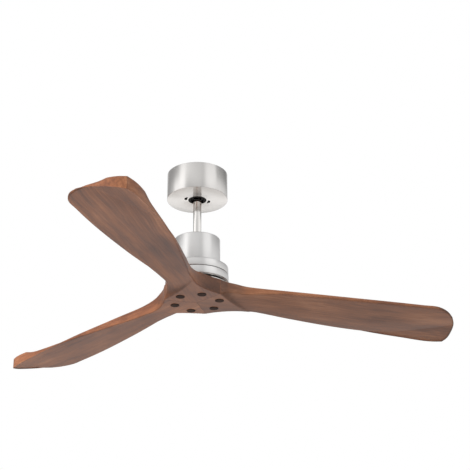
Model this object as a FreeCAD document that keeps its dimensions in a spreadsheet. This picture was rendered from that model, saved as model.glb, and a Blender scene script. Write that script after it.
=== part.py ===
"""Ceiling fan: three carved walnut blades under an outer-rotor motor, on a short downrod.

Frame: millimetres, +Z up, origin on the ceiling plane, on the axis of the downrod.
Each piece that can be taken off the fan is one labelled object and one STEP file.
"""
import FreeCAD, Part
import math
import os
import re
import Sketcher
from FreeCAD import Placement, Rotation, Vector

doc = FreeCAD.newDocument("ceiling_fan")
dims = doc.addObject("Spreadsheet::Sheet", "dims")

# Driving dimensions, in mm and degrees. Heights are depths below the ceiling.
DIMENSIONS = {
    # canopy and ceiling bracket
    "canopy_radius": 74.0, "canopy_wall": 1.2, "canopy_gap": 1.0, "canopy_bottom": 68.3,
    "canopy_hole_radius": 22.3, "bracket_width": 56.0, "bracket_length": 110.0,
    "bracket_sheet": 2.5, "bracket_bottom": 66.6, "slot_spacing": 84.0, "slot_width": 6.5,
    "slot_length": 16.0, "canopy_slot_circle": 29.0, "canopy_slot_angle": 14.0, "canopy_slot_turn": 15.0,
    # hanger ball and downrod
    "ball_depth": 50.0, "ball_radius": 20.0, "ball_clearance": 0.3, "ball_half_height": 14.0,
    "rod_radius": 10.0, "rod_wall": 2.0, "rod_top": 31.0, "rod_bottom": 212.0,
    "lead_radius": 3.5, "pin_radius": 3.0, "ball_pin_depth": 45.0, "ball_set_screw_depth": 56.0,
    # motor cover and coupling
    "cover_radius": 55.4, "cover_top": 177.2, "cover_wall": 1.5, "cover_hole_radius": 11.0,
    "yoke_radius": 16.0, "yoke_top": 184.0, "yoke_flange_radius": 30.0, "yoke_flange": 4.0,
    "yoke_bolt_circle": 24.0, "yoke_pin_depth": 198.0, "set_screw_depth": 234.6,
    # stationary top plate of the motor
    "plate_radius": 74.7, "plate_top": 250.6, "plate_bottom": 270.1, "plate_sheet": 2.5,
    "plate_hole_radius": 13.0,
    # stator
    "shaft_radius": 7.5, "shaft_bottom": 289.0, "shaft_bore_radius": 4.0,
    "core_radius": 51.4, "core_bore_radius": 24.0, "core_top": 265.0, "core_height": 16.0,
    # rotor
    "rotor_radius": 75.3, "rotor_top": 270.6, "rotor_bottom": 290.4, "rotor_floor": 3.0,
    "drum_radius": 70.5, "drum_wall": 5.0, "drum_top": 255.1, "cage_bore_radius": 52.0,
    "bearing_radius": 17.5, "bearing_width": 11.0, "bearing_clearance": 0.05,
    # blade carrier and blades
    "carrier_radius": 66.0, "carrier_sheet": 4.0, "carrier_hole_radius": 14.0,
    "carrier_bolt_circle": 40.0, "carrier_bolt_turn": 30.0, "carrier_head_room": 3.9,
    "blade_plate_radius": 75.5, "blade_plate_sheet": 2.0,
    "hub_bottom": 337.0, "hub_thickness": 37.5, "blade_angle": 13.13, "seam_gap": 0.2,
    "blade_screw_circle": 54.7, "blade_screw_spread": 28.6, "blade_bore_radius": 3.2,
    "counterbore_radius": 9.8, "counterbore_depth": 20.0, "washer_sheet": 1.6, "blade_rise": 25.0,
    "blade_droop": 0.0388, "panel_start": 190.0, "panel_height": 3.5,
}
for row, (alias, value) in enumerate(DIMENSIONS.items(), start=1):
    dims.set(f"A{row}", alias.replace("_", " "))
    dims.set(f"B{row}", str(value))
    dims.setAlias(f"B{row}", alias)
doc.recompute()


def bound(expression):
    """The expression with every dimension's name pointed at the spreadsheet."""
    return re.sub(r"[a-z]\w*", lambda word: "dims." + word.group(), expression)


def size(expression):
    """The value of an expression in the spreadsheet's dimensions."""
    return float(dims.evalExpression(expression))


def place(piece, x="0", y="0", z="0", turn=None):
    """Put a piece where expressions say, turned first if a rotation is given."""
    piece.Placement = Placement(Vector(), turn or Rotation())
    for axis, value in (("x", x), ("y", y), ("z", z)):
        piece.setExpression(f".Placement.Base.{axis}", bound(value))
    return piece


def origin_plane(body, role):
    """One of the body's own origin planes, such as XZ_Plane."""
    return next(plane for plane in body.Origin.OriginFeatures if plane.Role == role)


def profile_sketch(body, name, plane, corners):
    """A closed outline of straight runs, each corner held by two bound distances."""
    sketch = body.newObject("Sketcher::SketchObject", name)
    sketch.AttachmentSupport = (origin_plane(body, plane), "")
    sketch.MapMode = "FlatFace"
    points = [Vector(size(across), size(up), 0) for across, up in corners]
    for index, start in enumerate(points):
        sketch.addGeometry(Part.LineSegment(start, points[(index + 1) % len(points)]))
    for index, corner in enumerate(corners):
        sketch.addConstraint(Sketcher.Constraint("Coincident", index - 1 if index else len(points) - 1,
                                                 2, index, 1))
        for kind, value, axis in (("DistanceX", corner[0], -2), ("DistanceY", corner[1], -1)):
            if value == "0":
                sketch.addConstraint(Sketcher.Constraint("PointOnObject", index, 1, axis))
                continue
            held = sketch.addConstraint(Sketcher.Constraint(kind, -1, 1, index, 1, size(value)))
            sketch.setExpression(f"Constraints[{held}]", bound(value))
    return sketch


def turned(label, corners, z="0"):
    """A lathe-turned body: its half section, corners as (radius, height), about the axis."""
    body = doc.addObject("PartDesign::Body", label)
    sketch = profile_sketch(body, label + "_section", "XZ_Plane", corners)
    turning = body.newObject("PartDesign::Revolution", label + "_turning")
    turning.Profile = sketch
    turning.ReferenceAxis = (sketch, ["V_Axis"])
    turning.Angle = 360
    return place(body, z=z)


def drilled(body, name, radius, circle, count, start="0", depth=None):
    """A ring of holes parallel to the body's axis: through, or this deep from its lower face."""
    sketch = body.newObject("Sketcher::SketchObject", name + "_mark")
    sketch.AttachmentSupport = (origin_plane(body, "XY_Plane"), "")
    sketch.MapMode = "FlatFace"
    angle = math.radians(size(start))
    centre = Vector(size(circle) * math.cos(angle), size(circle) * math.sin(angle), 0)
    sketch.addGeometry(Part.Circle(centre, Vector(0, 0, 1), size(radius)))
    held = sketch.addConstraint(Sketcher.Constraint("Radius", 0, size(radius)))
    sketch.setExpression(f"Constraints[{held}]", bound(radius))
    for kind, value, way in (("DistanceX", centre.x, "cos"), ("DistanceY", centre.y, "sin")):
        if abs(value) < 1e-6:
            axis = -2 if kind == "DistanceX" else -1
            sketch.addConstraint(Sketcher.Constraint("PointOnObject", 0, 3, axis))
            continue
        held = sketch.addConstraint(Sketcher.Constraint(kind, -1, 1, 0, 3, value))
        degrees = start if start == "0" else bound(start)
        sketch.setExpression(f"Constraints[{held}]", f"({bound(circle)}) * {way}(({degrees}) * 1 deg)")
    hole = body.newObject("PartDesign::Pocket", name)
    hole.Profile = sketch
    if depth:
        hole.setExpression("Length", bound(depth))
        hole.Reversed = True
    else:
        hole.Type = "ThroughAll"
        hole.Midplane = True
    if count > 1:
        ring = body.newObject("PartDesign::PolarPattern", name + "_ring")
        ring.Originals = [hole]
        ring.Axis = (sketch, ["N_Axis"])
        ring.Angle = 360
        ring.Occurrences = count
        body.Tip = ring
    return body


def rod(name, radius, height, x="0", y="0", z="0", turn=None):
    """A plain cylinder that stands on the point given."""
    piece = doc.addObject("Part::Cylinder", name)
    piece.setExpression("Radius", bound(radius))
    piece.setExpression("Height", bound(height))
    return place(piece, x, y, z, turn)


def block(name, length, width, height, x="0", y="0", z="0"):
    """A plain box with its lowest corner at the point given."""
    piece = doc.addObject("Part::Box", name)
    for side, value in (("Length", length), ("Width", width), ("Height", height)):
        piece.setExpression(side, bound(value))
    return place(piece, x, y, z)


def joined(label, pieces):
    """Several shapes made one solid."""
    whole = doc.addObject("Part::MultiFuse", label)
    whole.Shapes = pieces
    whole.Refine = True
    return whole


def cut_from(label, base, tools):
    """A shape with the tools' shapes taken away."""
    tool = tools[0] if len(tools) == 1 else joined(label + "_cuts", tools)
    rest = doc.addObject("Part::Cut", label)
    rest.Base = base
    rest.Tool = tool
    return rest


def group(label, pieces):
    """Like pieces that stay separate solids in one node."""
    gathered = doc.addObject("Part::Compound", label)
    gathered.Links = pieces
    return gathered


UP = Rotation()
DOWN = Rotation(Vector(1, 0, 0), 180)
ALONG_X = Rotation(Vector(0, 1, 0), 90)
ALONG_Y = Rotation(Vector(1, 0, 0), -90)


def screw(name, head_radius, head_height, shank_radius, shank_length, x, y, z, turn=UP):
    """A round-head screw: its head's underside is at the point given, its shank goes along +Z."""
    head = rod(name + "_head", head_radius, head_height, x="0", y="0", z=f"-{head_height}")
    shank = rod(name + "_shank", shank_radius, shank_length)
    return place(joined(name, [head, shank]), x, y, z, turn)


def ring_of_screws(label, count, circle, start, z, sizes, turn=UP):
    """Equal screws at equal steps round the axis."""
    screws = []
    for index in range(count):
        angle = math.radians(start + 360 * index / count)
        x = f"{circle} * {math.cos(angle):.6f}"
        y = f"{circle} * {math.sin(angle):.6f}"
        screws.append(screw(f"{label}_{index + 1}", *sizes, x, y, z, turn))
    return group(label, screws)


nodes = []


# ---- ceiling bracket: a U of folded steel that carries the ball seat -------------------
half_width = "bracket_width / 2"
half_length = "bracket_length / 2"
top_plate = block("bracket_top", "bracket_length", "bracket_width", "bracket_sheet",
                  f"-{half_length}", f"-{half_width}", "-bracket_sheet")
legs = [block(f"bracket_leg_{side}", "bracket_sheet", "bracket_width", "bracket_bottom",
              x, f"-{half_width}", "-bracket_bottom")
        for side, x in (("left", f"-{half_length}"), ("right", f"{half_length} - bracket_sheet"))]
bottom_plate = block("bracket_floor", "bracket_length", "bracket_width", "bracket_sheet",
                     f"-{half_length}", f"-{half_width}", "-bracket_bottom")
seat_collar = rod("seat_collar", "ball_radius + 4", "14", z="-bracket_bottom")
swing_room = rod("swing_room", "ball_radius - 4", "14", z="-bracket_bottom - 1")
seat_ball = doc.addObject("Part::Sphere", "seat_ball")
seat_ball.setExpression("Radius", bound("ball_radius + ball_clearance"))
place(seat_ball, z="-ball_depth")
side_entry = block("side_entry", "rod_radius * 2 + 9", "bracket_width", "bracket_bottom - ball_depth + 20",
                   "-rod_radius - 4.5", "0", "-bracket_bottom")
slots = []
for side, sign in (("left", "-"), ("right", "")):
    middle = f"{sign}slot_spacing / 2"
    slots.append(block(f"mount_slot_{side}", "slot_length - slot_width", "slot_width", "bracket_sheet * 3",
                       f"{middle} - (slot_length - slot_width) / 2", "-slot_width / 2",
                       "-bracket_sheet * 2"))
    for end, way in (("inner", "-"), ("outer", "+")):
        slots.append(rod(f"mount_slot_{side}_{end}", "slot_width / 2", "bracket_sheet * 3",
                         f"{middle} {way} (slot_length - slot_width) / 2", "0", "-bracket_sheet * 2"))
lead_entry = rod("lead_entry", "14", "bracket_sheet * 3", z="-bracket_sheet * 2")
canopy_screw_holes = []
for side, base in (("a", 0), ("b", 180)):
    angle = math.radians(base + size("canopy_slot_angle"))
    canopy_screw_holes.append(rod(f"canopy_screw_hole_{side}", "1.95", "bracket_sheet * 3",
                                   f"canopy_slot_circle * {math.cos(angle):.6f}",
                                   f"canopy_slot_circle * {math.sin(angle):.6f}",
                                   "-bracket_bottom - bracket_sheet"))
earth_hole = rod("earth_hole", "1.95", "bracket_sheet * 3", f"{half_length} - 5", "-18", "-30", ALONG_X)
terminal_hole = rod("terminal_hole", "1.45", "bracket_sheet * 3", f"-{half_length} - 2", "0", "-30",
                    ALONG_X)
bracket_blank = joined("bracket_blank", [top_plate, *legs, bottom_plate, seat_collar])
nodes.append(cut_from("ceiling_bracket", bracket_blank,
                      [seat_ball, swing_room, side_entry, *slots, lead_entry, *canopy_screw_holes,
                       earth_hole, terminal_hole]))

# ---- canopy: a spun cup with two curved screw slots in its bottom ---------------------------
canopy = turned("canopy", [
    ("canopy_hole_radius", "0"),
    ("canopy_radius - 1.2", "0"),
    ("canopy_radius", "1.2"),
    ("canopy_radius", "canopy_bottom - canopy_gap"),
    ("canopy_radius - canopy_wall", "canopy_bottom - canopy_gap"),
    ("canopy_radius - canopy_wall", "canopy_wall"),
    ("canopy_hole_radius", "canopy_wall")], z="-canopy_bottom")
SLOT_STEPS = 3
for index in range(SLOT_STEPS + 1):
    step = f"canopy_slot_angle + canopy_slot_turn * {index} / {SLOT_STEPS}"
    drilled(canopy, f"canopy_slot_{index}", "2.5", "canopy_slot_circle", 2, step)
nodes.append(canopy)
nodes.append(ring_of_screws("canopy_screws", 2, "canopy_slot_circle", size("canopy_slot_angle"),
                            "-canopy_bottom - 0.1", ("3.4", "2", "1.9", "9")))

# ---- supply terminals and remote receiver, above the ball ------------------------------
leg_face = f"-{half_length} + bracket_sheet"
terminal_blank = block("terminal_blank", "13", "34", "17", leg_face, "-17", "-38.5")
WIRE_PITCH = 11
wire_ways = [rod(f"wire_way_{index}", "2", "20", f"{leg_face} + 7", f"{WIRE_PITCH * (index - 1)}", "-40")
             for index in range(3)]
terminal_bore = rod("terminal_bore", "1.5", "20", f"-{half_length}", "0", "-30", ALONG_X)
nodes.append(cut_from("terminal_block", terminal_blank, [*wire_ways, terminal_bore]))
nodes.append(screw("terminal_screw", "2.8", "2", "1.4", "15", f"{leg_face} + 13", "0", "-30",
                   Rotation(Vector(0, 1, 0), -90)))
nodes.append(screw("earth_screw", "3.6", "2.4", "1.9", "6", f"{half_length} - bracket_sheet", "-18",
                   "-30", ALONG_X))

receiver_blank = block("receiver_blank", "74", "44", "18", "-34", "-22", "-21.5")
receiver_room = block("receiver_room", "70", "40", "16", "-32", "-20", "-19.5")
nodes.append(cut_from("receiver_case", receiver_blank, [receiver_room]))
nodes.append(block("receiver_lid", "74", "44", "0.9", "-34", "-22", "-3.5"))
board_sheet = block("board_sheet", "66", "36", "1.6", "-30", "-18", "-19.5")
board_parts = [block("board_relay", "16", "12", "10", "-24", "-10", "-18"),
               rod("board_capacitor", "5", "11", "8", "4", "-18"),
               block("board_chip", "10", "8", "4", "18", "-10", "-18")]
nodes.append(joined("receiver_board", [board_sheet, *board_parts]))

# ---- hanger ball, clamped on the top of the downrod ------------------------------------
ball = doc.addObject("Part::Sphere", "ball_blank")
ball.setExpression("Radius", bound("ball_radius"))
place(ball, z="-ball_depth")
ball_height = rod("ball_height", "ball_radius + 1", "ball_half_height * 2",
                  z="-ball_depth - ball_half_height")
trimmed_ball = doc.addObject("Part::Common", "ball_trimmed")
trimmed_ball.Base = ball
trimmed_ball.Tool = ball_height
ball_bore = rod("ball_bore", "rod_radius", "ball_radius * 3", z="-ball_depth - ball_radius * 1.5")
pin_way = rod("pin_way", "pin_radius", "ball_radius * 3", "-ball_radius * 1.5", "0", "-ball_pin_depth",
              ALONG_X)
set_screw_way = rod("set_screw_way", "2", "ball_radius", "0", "0", "-ball_set_screw_depth", ALONG_Y)
nodes.append(cut_from("hanger_ball", trimmed_ball, [ball_bore, pin_way, set_screw_way]))
nodes.append(rod("ball_pin", "pin_radius", "33", "-16.5", "0", "-ball_pin_depth", ALONG_X))
nodes.append(rod("ball_set_screw", "2", "7.5", "0", "rod_radius", "-ball_set_screw_depth", ALONG_Y))

rod_tube = rod("rod_tube", "rod_radius", "rod_bottom - rod_top", z="-rod_bottom")
rod_bore = rod("rod_bore", "rod_radius - rod_wall", "rod_bottom", z="-rod_bottom - 1")
top_pin_hole = rod("top_pin_hole", "pin_radius", "40", "-20", "0", "-ball_pin_depth", ALONG_X)
bottom_pin_hole = rod("bottom_pin_hole", "pin_radius", "40", "-20", "0", "-yoke_pin_depth", ALONG_X)
nodes.append(cut_from("downrod", rod_tube, [rod_bore, top_pin_hole, bottom_pin_hole]))

# The lead runs beside the two cross pins, inside the tube, and ends in the stator.
lead_straight = rod("lead_straight", "lead_radius", "core_top + 6 - rod_top", z="-core_top - 6")
pin_notches = [rod(f"lead_notch_{end}", "pin_radius + 0.3", "40", "-20", "0", height, ALONG_X)
               for end, height in (("top", "-ball_pin_depth"), ("bottom", "-yoke_pin_depth"))]
lead_cheeks = [rod(f"lead_cheek_{end}", "lead_radius + 3.2", "12", z=f"{height} - 6")
               for end, height in (("top", "-ball_pin_depth"), ("bottom", "-yoke_pin_depth"))]
lead_whole = joined("lead_whole", [lead_straight, *lead_cheeks])
nodes.append(cut_from("lead_cable", lead_whole, pin_notches))

# ---- coupling between downrod and motor shaft ------------------------------------------
yoke = turned("yoke_turning", [
    ("shaft_radius", "0"),
    ("yoke_flange_radius", "0"),
    ("yoke_flange_radius", "yoke_flange"),
    ("yoke_radius + 3.5", "yoke_flange"),
    ("yoke_radius", "8"),
    ("yoke_radius", "plate_top - yoke_top"),
    ("rod_radius", "plate_top - yoke_top"),
    ("rod_radius", "plate_top - rod_bottom"),
    ("shaft_radius", "plate_top - rod_bottom")], z="-plate_top")
drilled(yoke, "flange_hole", "2.1", "yoke_bolt_circle", 3)
yoke_pin_way = rod("yoke_pin_way", "pin_radius", "40", "-20", "0", "-yoke_pin_depth", ALONG_X)
shaft_screw_ways = [rod("shaft_screw_way_front", "2.5", "20", "0", "-20", "-set_screw_depth", ALONG_Y),
                    rod("shaft_screw_way_back", "2.5", "20", "0", "0", "-set_screw_depth", ALONG_Y)]
yoke_solid = cut_from("motor_yoke", yoke, [yoke_pin_way, *shaft_screw_ways])
nodes.append(yoke_solid)
nodes.append(joined("yoke_pin", [
    rod("yoke_pin_shank", "pin_radius", "40", "-18", "0", "-yoke_pin_depth", ALONG_X),
    rod("yoke_pin_head", "pin_radius + 1.6", "2", "-18", "0", "-yoke_pin_depth", ALONG_X)]))
clip_eye = doc.addObject("Part::Torus", "yoke_clip")
clip_eye.Radius1 = size("pin_radius + 0.7")
clip_eye.Radius2 = 0.7
place(clip_eye, "19", "0", "-yoke_pin_depth", ALONG_X)
nodes.append(clip_eye)
nodes.append(group("yoke_set_screws", [
    rod("yoke_set_screw_front", "2.5", "7", "0", "-shaft_radius - 7", "-set_screw_depth", ALONG_Y),
    rod("yoke_set_screw_back", "2.5", "7", "0", "shaft_radius", "-set_screw_depth", ALONG_Y)]))

# ---- motor cover: a drawn cup over the coupling and the capacitor ----------------------
cover = turned("cover_drawing", [
    ("cover_radius - cover_wall", "0"),
    ("cover_radius", "0"),
    ("cover_radius", "plate_top - cover_top - 1"),
    ("cover_radius - 1", "plate_top - cover_top"),
    ("cover_hole_radius", "plate_top - cover_top"),
    ("cover_hole_radius", "plate_top - cover_top - cover_wall"),
    ("cover_radius - cover_wall", "plate_top - cover_top - cover_wall")], z="-plate_top")
LUG_CIRCLE = "(cover_radius - 6)"
cover_lugs = []
lug_holes = []
for index in range(3):
    angle = math.radians(60 + 120 * index)
    x = f"{LUG_CIRCLE} * {math.cos(angle):.6f}"
    y = f"{LUG_CIRCLE} * {math.sin(angle):.6f}"
    cover_lugs.append(rod(f"cover_lug_{index + 1}", "5", "8", x, y, "-plate_top"))
    lug_holes.append(rod(f"cover_lug_hole_{index + 1}", "1.9", "8", x, y, "-plate_top - 1"))
cover_blank = joined("cover_blank", [cover, *cover_lugs])
nodes.append(cut_from("motor_cover", cover_blank, lug_holes))

nodes.append(joined("capacitor", [
    block("capacitor_can", "30", "16", "38", "-15", "26", "-plate_top + 10"),
    rod("capacitor_lead_a", "1.4", "6", "-6", "34", "-plate_top + 48"),
    rod("capacitor_lead_b", "1.4", "6", "6", "34", "-plate_top + 48")]))
nodes.append(joined("capacitor_clip", [
    block("clip_foot", "30", "19", "1.5", "-15", "24.5", "-plate_top + 8.5"),
    block("clip_back", "30", "1.5", "20", "-15", "24.5", "-plate_top + 8.5"),
    block("clip_front", "30", "1.5", "20", "-15", "42", "-plate_top + 8.5"),
    block("clip_tab", "12", "1.5", "4.5", "-6", "24.5", "-plate_top + 4")]))

# ---- stationary top plate: the upper nickel ring of the motor --------------------------
plate = turned("motor_top_plate", [
    ("plate_hole_radius", "plate_bottom - plate_top - plate_sheet"),
    ("plate_radius - 2", "plate_bottom - plate_top - plate_sheet"),
    ("plate_radius - 2", "0"),
    ("plate_radius", "0"),
    ("plate_radius", "plate_bottom - plate_top - 1"),
    ("plate_radius - 1", "plate_bottom - plate_top"),
    ("plate_hole_radius", "plate_bottom - plate_top")], z="-plate_bottom")
drilled(plate, "yoke_hole", "2.1", "yoke_bolt_circle", 3)
drilled(plate, "cover_hole", "2.1", LUG_CIRCLE, 3, "60")
nodes.append(plate)
nodes.append(ring_of_screws("plate_screws", 3, "yoke_bolt_circle", 0, "-plate_top + yoke_flange",
                            ("3.6", "2.4", "2.1", "6.5"), DOWN))
nodes.append(ring_of_screws("cover_screws", 3, LUG_CIRCLE, 60, "-plate_top - plate_sheet",
                            ("3.2", "1.6", "1.85", "8.5")))

# ---- stator: hollow shaft, carrier, laminated core, insulators and windings ------------
shaft = turned("shaft_bar", [
    ("shaft_bore_radius", "0"),
    ("shaft_radius", "0"),
    ("shaft_radius", "shaft_bottom - rod_bottom - 1"),
    ("shaft_bore_radius", "shaft_bottom - rod_bottom - 1")], z="-shaft_bottom")
wire_exit = rod("wire_exit", "2", "12", "0", "0", "-core_top - 7.5", ALONG_X)
circlip_groove_ring = doc.addObject("Part::Torus", "circlip_groove_ring")
circlip_groove_ring.Radius1 = size("shaft_radius")
circlip_groove_ring.Radius2 = 0.6
place(circlip_groove_ring, z="-plate_top - 6.3")
nodes.append(cut_from("stator_shaft", shaft, [wire_exit, circlip_groove_ring]))
circlip_split = block("circlip_split", "12", "3", "4", "0", "-1.5", "-plate_top - 8.3")
circlip_ring = doc.addObject("Part::Torus", "circlip_ring")
circlip_ring.Radius1 = size("shaft_radius")
circlip_ring.Radius2 = 0.6
place(circlip_ring, z="-plate_top - 6.3")
nodes.append(cut_from("shaft_circlip", circlip_ring, [circlip_split]))

carrier = turned("stator_carrier_turning", [
    ("shaft_radius", "core_height / 2 - 2.6"),
    ("core_bore_radius - 2.2", "core_height / 2 - 2.6"),
    ("core_bore_radius - 2.2", "0"),
    ("core_bore_radius", "0"),
    ("core_bore_radius", "core_height"),
    ("core_bore_radius - 2.2", "core_height"),
    ("core_bore_radius - 2.2", "core_height / 2 + 2.6"),
    ("shaft_radius", "core_height / 2 + 2.6")], z="-core_top - core_height")
carrier_wire_way = rod("carrier_wire_way", "2", "30", "0", "0", "-core_top - 7.5", ALONG_X)
nodes.append(cut_from("stator_carrier", carrier, [carrier_wire_way]))

POLES = 12
core_ring = turned("core_ring", [
    ("core_bore_radius", "0"),
    ("core_bore_radius + 7", "0"),
    ("core_bore_radius + 7", "core_height"),
    ("core_bore_radius", "core_height")], z="-core_top - core_height")
core_disc = turned("core_rim", [
    ("core_radius - 3", "0"),
    ("core_radius", "0"),
    ("core_radius", "core_height"),
    ("core_radius - 3", "core_height")], z="-core_top - core_height")
teeth = []
slot_mouths = []
for index in range(POLES):
    spin = Rotation(Vector(0, 0, 1), 360 * index / POLES)
    tooth = block(f"tooth_{index + 1}", "core_radius - core_bore_radius - 8", "5", "core_height")
    offset = spin.multVec(Vector(size("core_bore_radius + 6"), -2.5, 0))
    place(tooth, f"{offset.x:.5f}", f"{offset.y:.5f}", "-core_top - core_height", spin)
    teeth.append(tooth)
    half_step = Rotation(Vector(0, 0, 1), 360 * (index + 0.5) / POLES)
    mouth = block(f"slot_mouth_{index + 1}", "8", "2.4", "core_height + 2")
    offset = half_step.multVec(Vector(size("core_radius - 6"), -1.2, 0))
    place(mouth, f"{offset.x:.5f}", f"{offset.y:.5f}", "-core_top - core_height - 1", half_step)
    slot_mouths.append(mouth)
core_blank = joined("core_blank", [core_ring, core_disc, *teeth])
nodes.append(cut_from("stator_core", core_blank, slot_mouths))

coils = []
for index in range(POLES):
    spin = Rotation(Vector(0, 0, 1), 360 * index / POLES)
    coil_block = block(f"coil_block_{index + 1}", "13", "9.4", "core_height + 9")
    coil_room = block(f"coil_room_{index + 1}", "15", "5.2", "core_height + 0.2")
    for piece, start, width, lift in ((coil_block, 32.6, 9.4, "4.5"), (coil_room, 31.6, 5.2, "0.1")):
        offset = spin.multVec(Vector(start, -width / 2, 0))
        place(piece, f"{offset.x:.5f}", f"{offset.y:.5f}", f"-core_top - core_height - {lift}", spin)
    coils.append(cut_from(f"coil_{index + 1}", coil_block, [coil_room]))
nodes.append(group("stator_windings", coils))

# ---- rotor: two aluminium shells round the squirrel cage, on two ball bearings ---------
boss_radius = "bearing_radius + 3"
drum = turned("rotor_drum", [
    ("plate_hole_radius", "rotor_bottom - rotor_floor - drum_top - 2.5"),
    ("plate_hole_radius", "rotor_bottom - rotor_floor - drum_top"),
    ("drum_radius", "rotor_bottom - rotor_floor - drum_top"),
    ("drum_radius", "0"),
    ("drum_radius - drum_wall", "0"),
    ("drum_radius - drum_wall", "rotor_bottom - rotor_floor - drum_top - 2.5"),
    (boss_radius, "rotor_bottom - rotor_floor - drum_top - 2.5"),
    (boss_radius, "rotor_bottom - rotor_floor - drum_top - 2.5 - bearing_width"),
    ("bearing_radius", "rotor_bottom - rotor_floor - drum_top - 2.5 - bearing_width"),
    ("bearing_radius", "rotor_bottom - rotor_floor - drum_top - 2.5")],
    z="-rotor_bottom + rotor_floor")
drilled(drum, "drum_screw_hole", "1.45", "drum_radius - drum_wall / 2", 6)
nodes.append(drum)

shell = turned("rotor_shell", [
    ("shaft_radius + 3", "0"),
    ("rotor_radius - 1.5", "0"),
    ("rotor_radius", "1.5"),
    ("rotor_radius", "rotor_bottom - rotor_top"),
    ("drum_radius + 0.2", "rotor_bottom - rotor_top"),
    ("drum_radius + 0.2", "rotor_floor"),
    (boss_radius, "rotor_floor"),
    (boss_radius, "rotor_floor + bearing_width - 1"),
    ("bearing_radius", "rotor_floor + bearing_width - 1"),
    ("bearing_radius", "rotor_floor - 1"),
    ("shaft_radius + 3", "rotor_floor - 1")], z="-rotor_bottom")
drilled(shell, "shell_screw_hole", "1.6", "drum_radius - drum_wall / 2", 6)
drilled(shell, "carrier_screw_hole", "2.1", "carrier_bolt_circle", 6, "carrier_bolt_turn")
nodes.append(shell)
nodes.append(ring_of_screws("shell_screws", 6, "(drum_radius - drum_wall / 2)", 0, "-rotor_bottom",
                            ("2.8", "1.6", "1.45", "12")))

nodes.append(turned("rotor_cage", [
    ("cage_bore_radius", "0"),
    ("drum_radius - drum_wall", "0"),
    ("drum_radius - drum_wall", "core_height + 4"),
    ("cage_bore_radius", "core_height + 4")], z="-core_top - core_height - 2"))


def bearing(label, z):
    """A deep-groove ball bearing: two grooved rings and nine balls between them."""
    bore = size("shaft_radius + bearing_clearance")
    outer = size("bearing_radius")
    width = size("bearing_width")
    pitch = (bore + outer) / 2
    ball_size = 2.9
    half_land = 1.7
    ball_count = 9
    middle = size(z) + width / 2
    groove = Part.makeTorus(pitch, ball_size, Vector(0, 0, middle))
    rings = []
    for inside, outside in ((bore, pitch - half_land), (pitch + half_land, outer)):
        ring = Part.makeCylinder(outside, width, Vector(0, 0, size(z)))
        rings.append(ring.cut(Part.makeCylinder(inside, width, Vector(0, 0, size(z)))).cut(groove))
    balls = []
    for index in range(ball_count):
        angle = math.radians(360 * index / ball_count)
        at = Vector(pitch * math.cos(angle), pitch * math.sin(angle), middle)
        balls.append(Part.makeSphere(ball_size, at))
    feature = doc.addObject("Part::Feature", label)
    feature.Shape = Part.makeCompound(rings + balls)
    return feature


nodes.append(bearing("upper_bearing", "-drum_top - 2.5 - bearing_width"))
nodes.append(bearing("lower_bearing", "-rotor_bottom + rotor_floor - 1"))

# ---- black blade carrier bolted under the rotor, and the bright plate on the wood ------
BLADE_BOLT_SIDES = (("right", "blade_angle + blade_screw_spread"),
                    ("left", "blade_angle - blade_screw_spread"))
plate_under = "hub_bottom - hub_thickness - 0.1"
carrier_under = f"{plate_under} - blade_plate_sheet"
blade_plate = turned("blade_plate", [
    ("carrier_hole_radius", "0"),
    ("blade_plate_radius", "0"),
    ("blade_plate_radius", "blade_plate_sheet"),
    ("carrier_hole_radius", "blade_plate_sheet")], z=f"-({plate_under})")
drilled(blade_plate, "plate_bolt_room", "carrier_head_room", "carrier_bolt_circle", 6, "carrier_bolt_turn")
for side, angle in BLADE_BOLT_SIDES:
    drilled(blade_plate, f"plate_bolt_{side}", "2.7", "blade_screw_circle", 3, angle)
nodes.append(blade_plate)

boss_inside = "carrier_bolt_circle - 7"
boss_outside = "carrier_bolt_circle + 7"
blade_carrier = turned("blade_carrier", [
    ("carrier_hole_radius", "0"),
    ("carrier_radius", "0"),
    ("carrier_radius", "carrier_sheet"),
    (boss_outside, "carrier_sheet"),
    (boss_outside, f"{carrier_under} - rotor_bottom"),
    (boss_inside, f"{carrier_under} - rotor_bottom"),
    (boss_inside, "carrier_sheet"),
    ("carrier_hole_radius", "carrier_sheet")], z=f"-({carrier_under})")
drilled(blade_carrier, "carrier_bolt_hole", "2.1", "carrier_bolt_circle", 6, "carrier_bolt_turn")
drilled(blade_carrier, "carrier_bolt_sink", "carrier_head_room", "carrier_bolt_circle", 6,
        "carrier_bolt_turn", depth="2")
for side, angle in BLADE_BOLT_SIDES:
    drilled(blade_carrier, f"blade_thread_{side}", "2.5", "blade_screw_circle", 3, angle)
nodes.append(blade_carrier)
nodes.append(ring_of_screws("carrier_screws", 6, "carrier_bolt_circle", size("carrier_bolt_turn"),
                            "-rotor_bottom - 5", ("3.6", "3", "2.05", "8")))

# ---- blades: carved walnut, butted together under the carrier --------------------------
LEADING_EDGE = [(38.5, -66.7), (60, -47), (100, -35.5), (190, -53.7), (340, -71.5), (540, -85.5)]
TIP = [(582, -86), (612, -71), (633, -50), (648, -22), (656, 12), (657, 46)]
TIP_CORNER = (653, 60)
TRAILING_EDGE = [(640, 64.8), (540, 70.5), (400, 66.5), (240, 45.7), (150, 33.0), (110, 34.2),
                 (60, 52), (38.5, 66.7)]
# stations along the panel: distance out, thickness at the leading and at the trailing edge
PANEL_STATIONS = [(190, 10.5, 28.5), (300, 9.8, 19.5), (450, 8.8, 9.8), (664, 7.0, 4.6)]
CREASE = [(44, -65), (138, 33)]
SHOULDER = 88.0
MARGIN = 30.0
DEEP = 80.0


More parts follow.
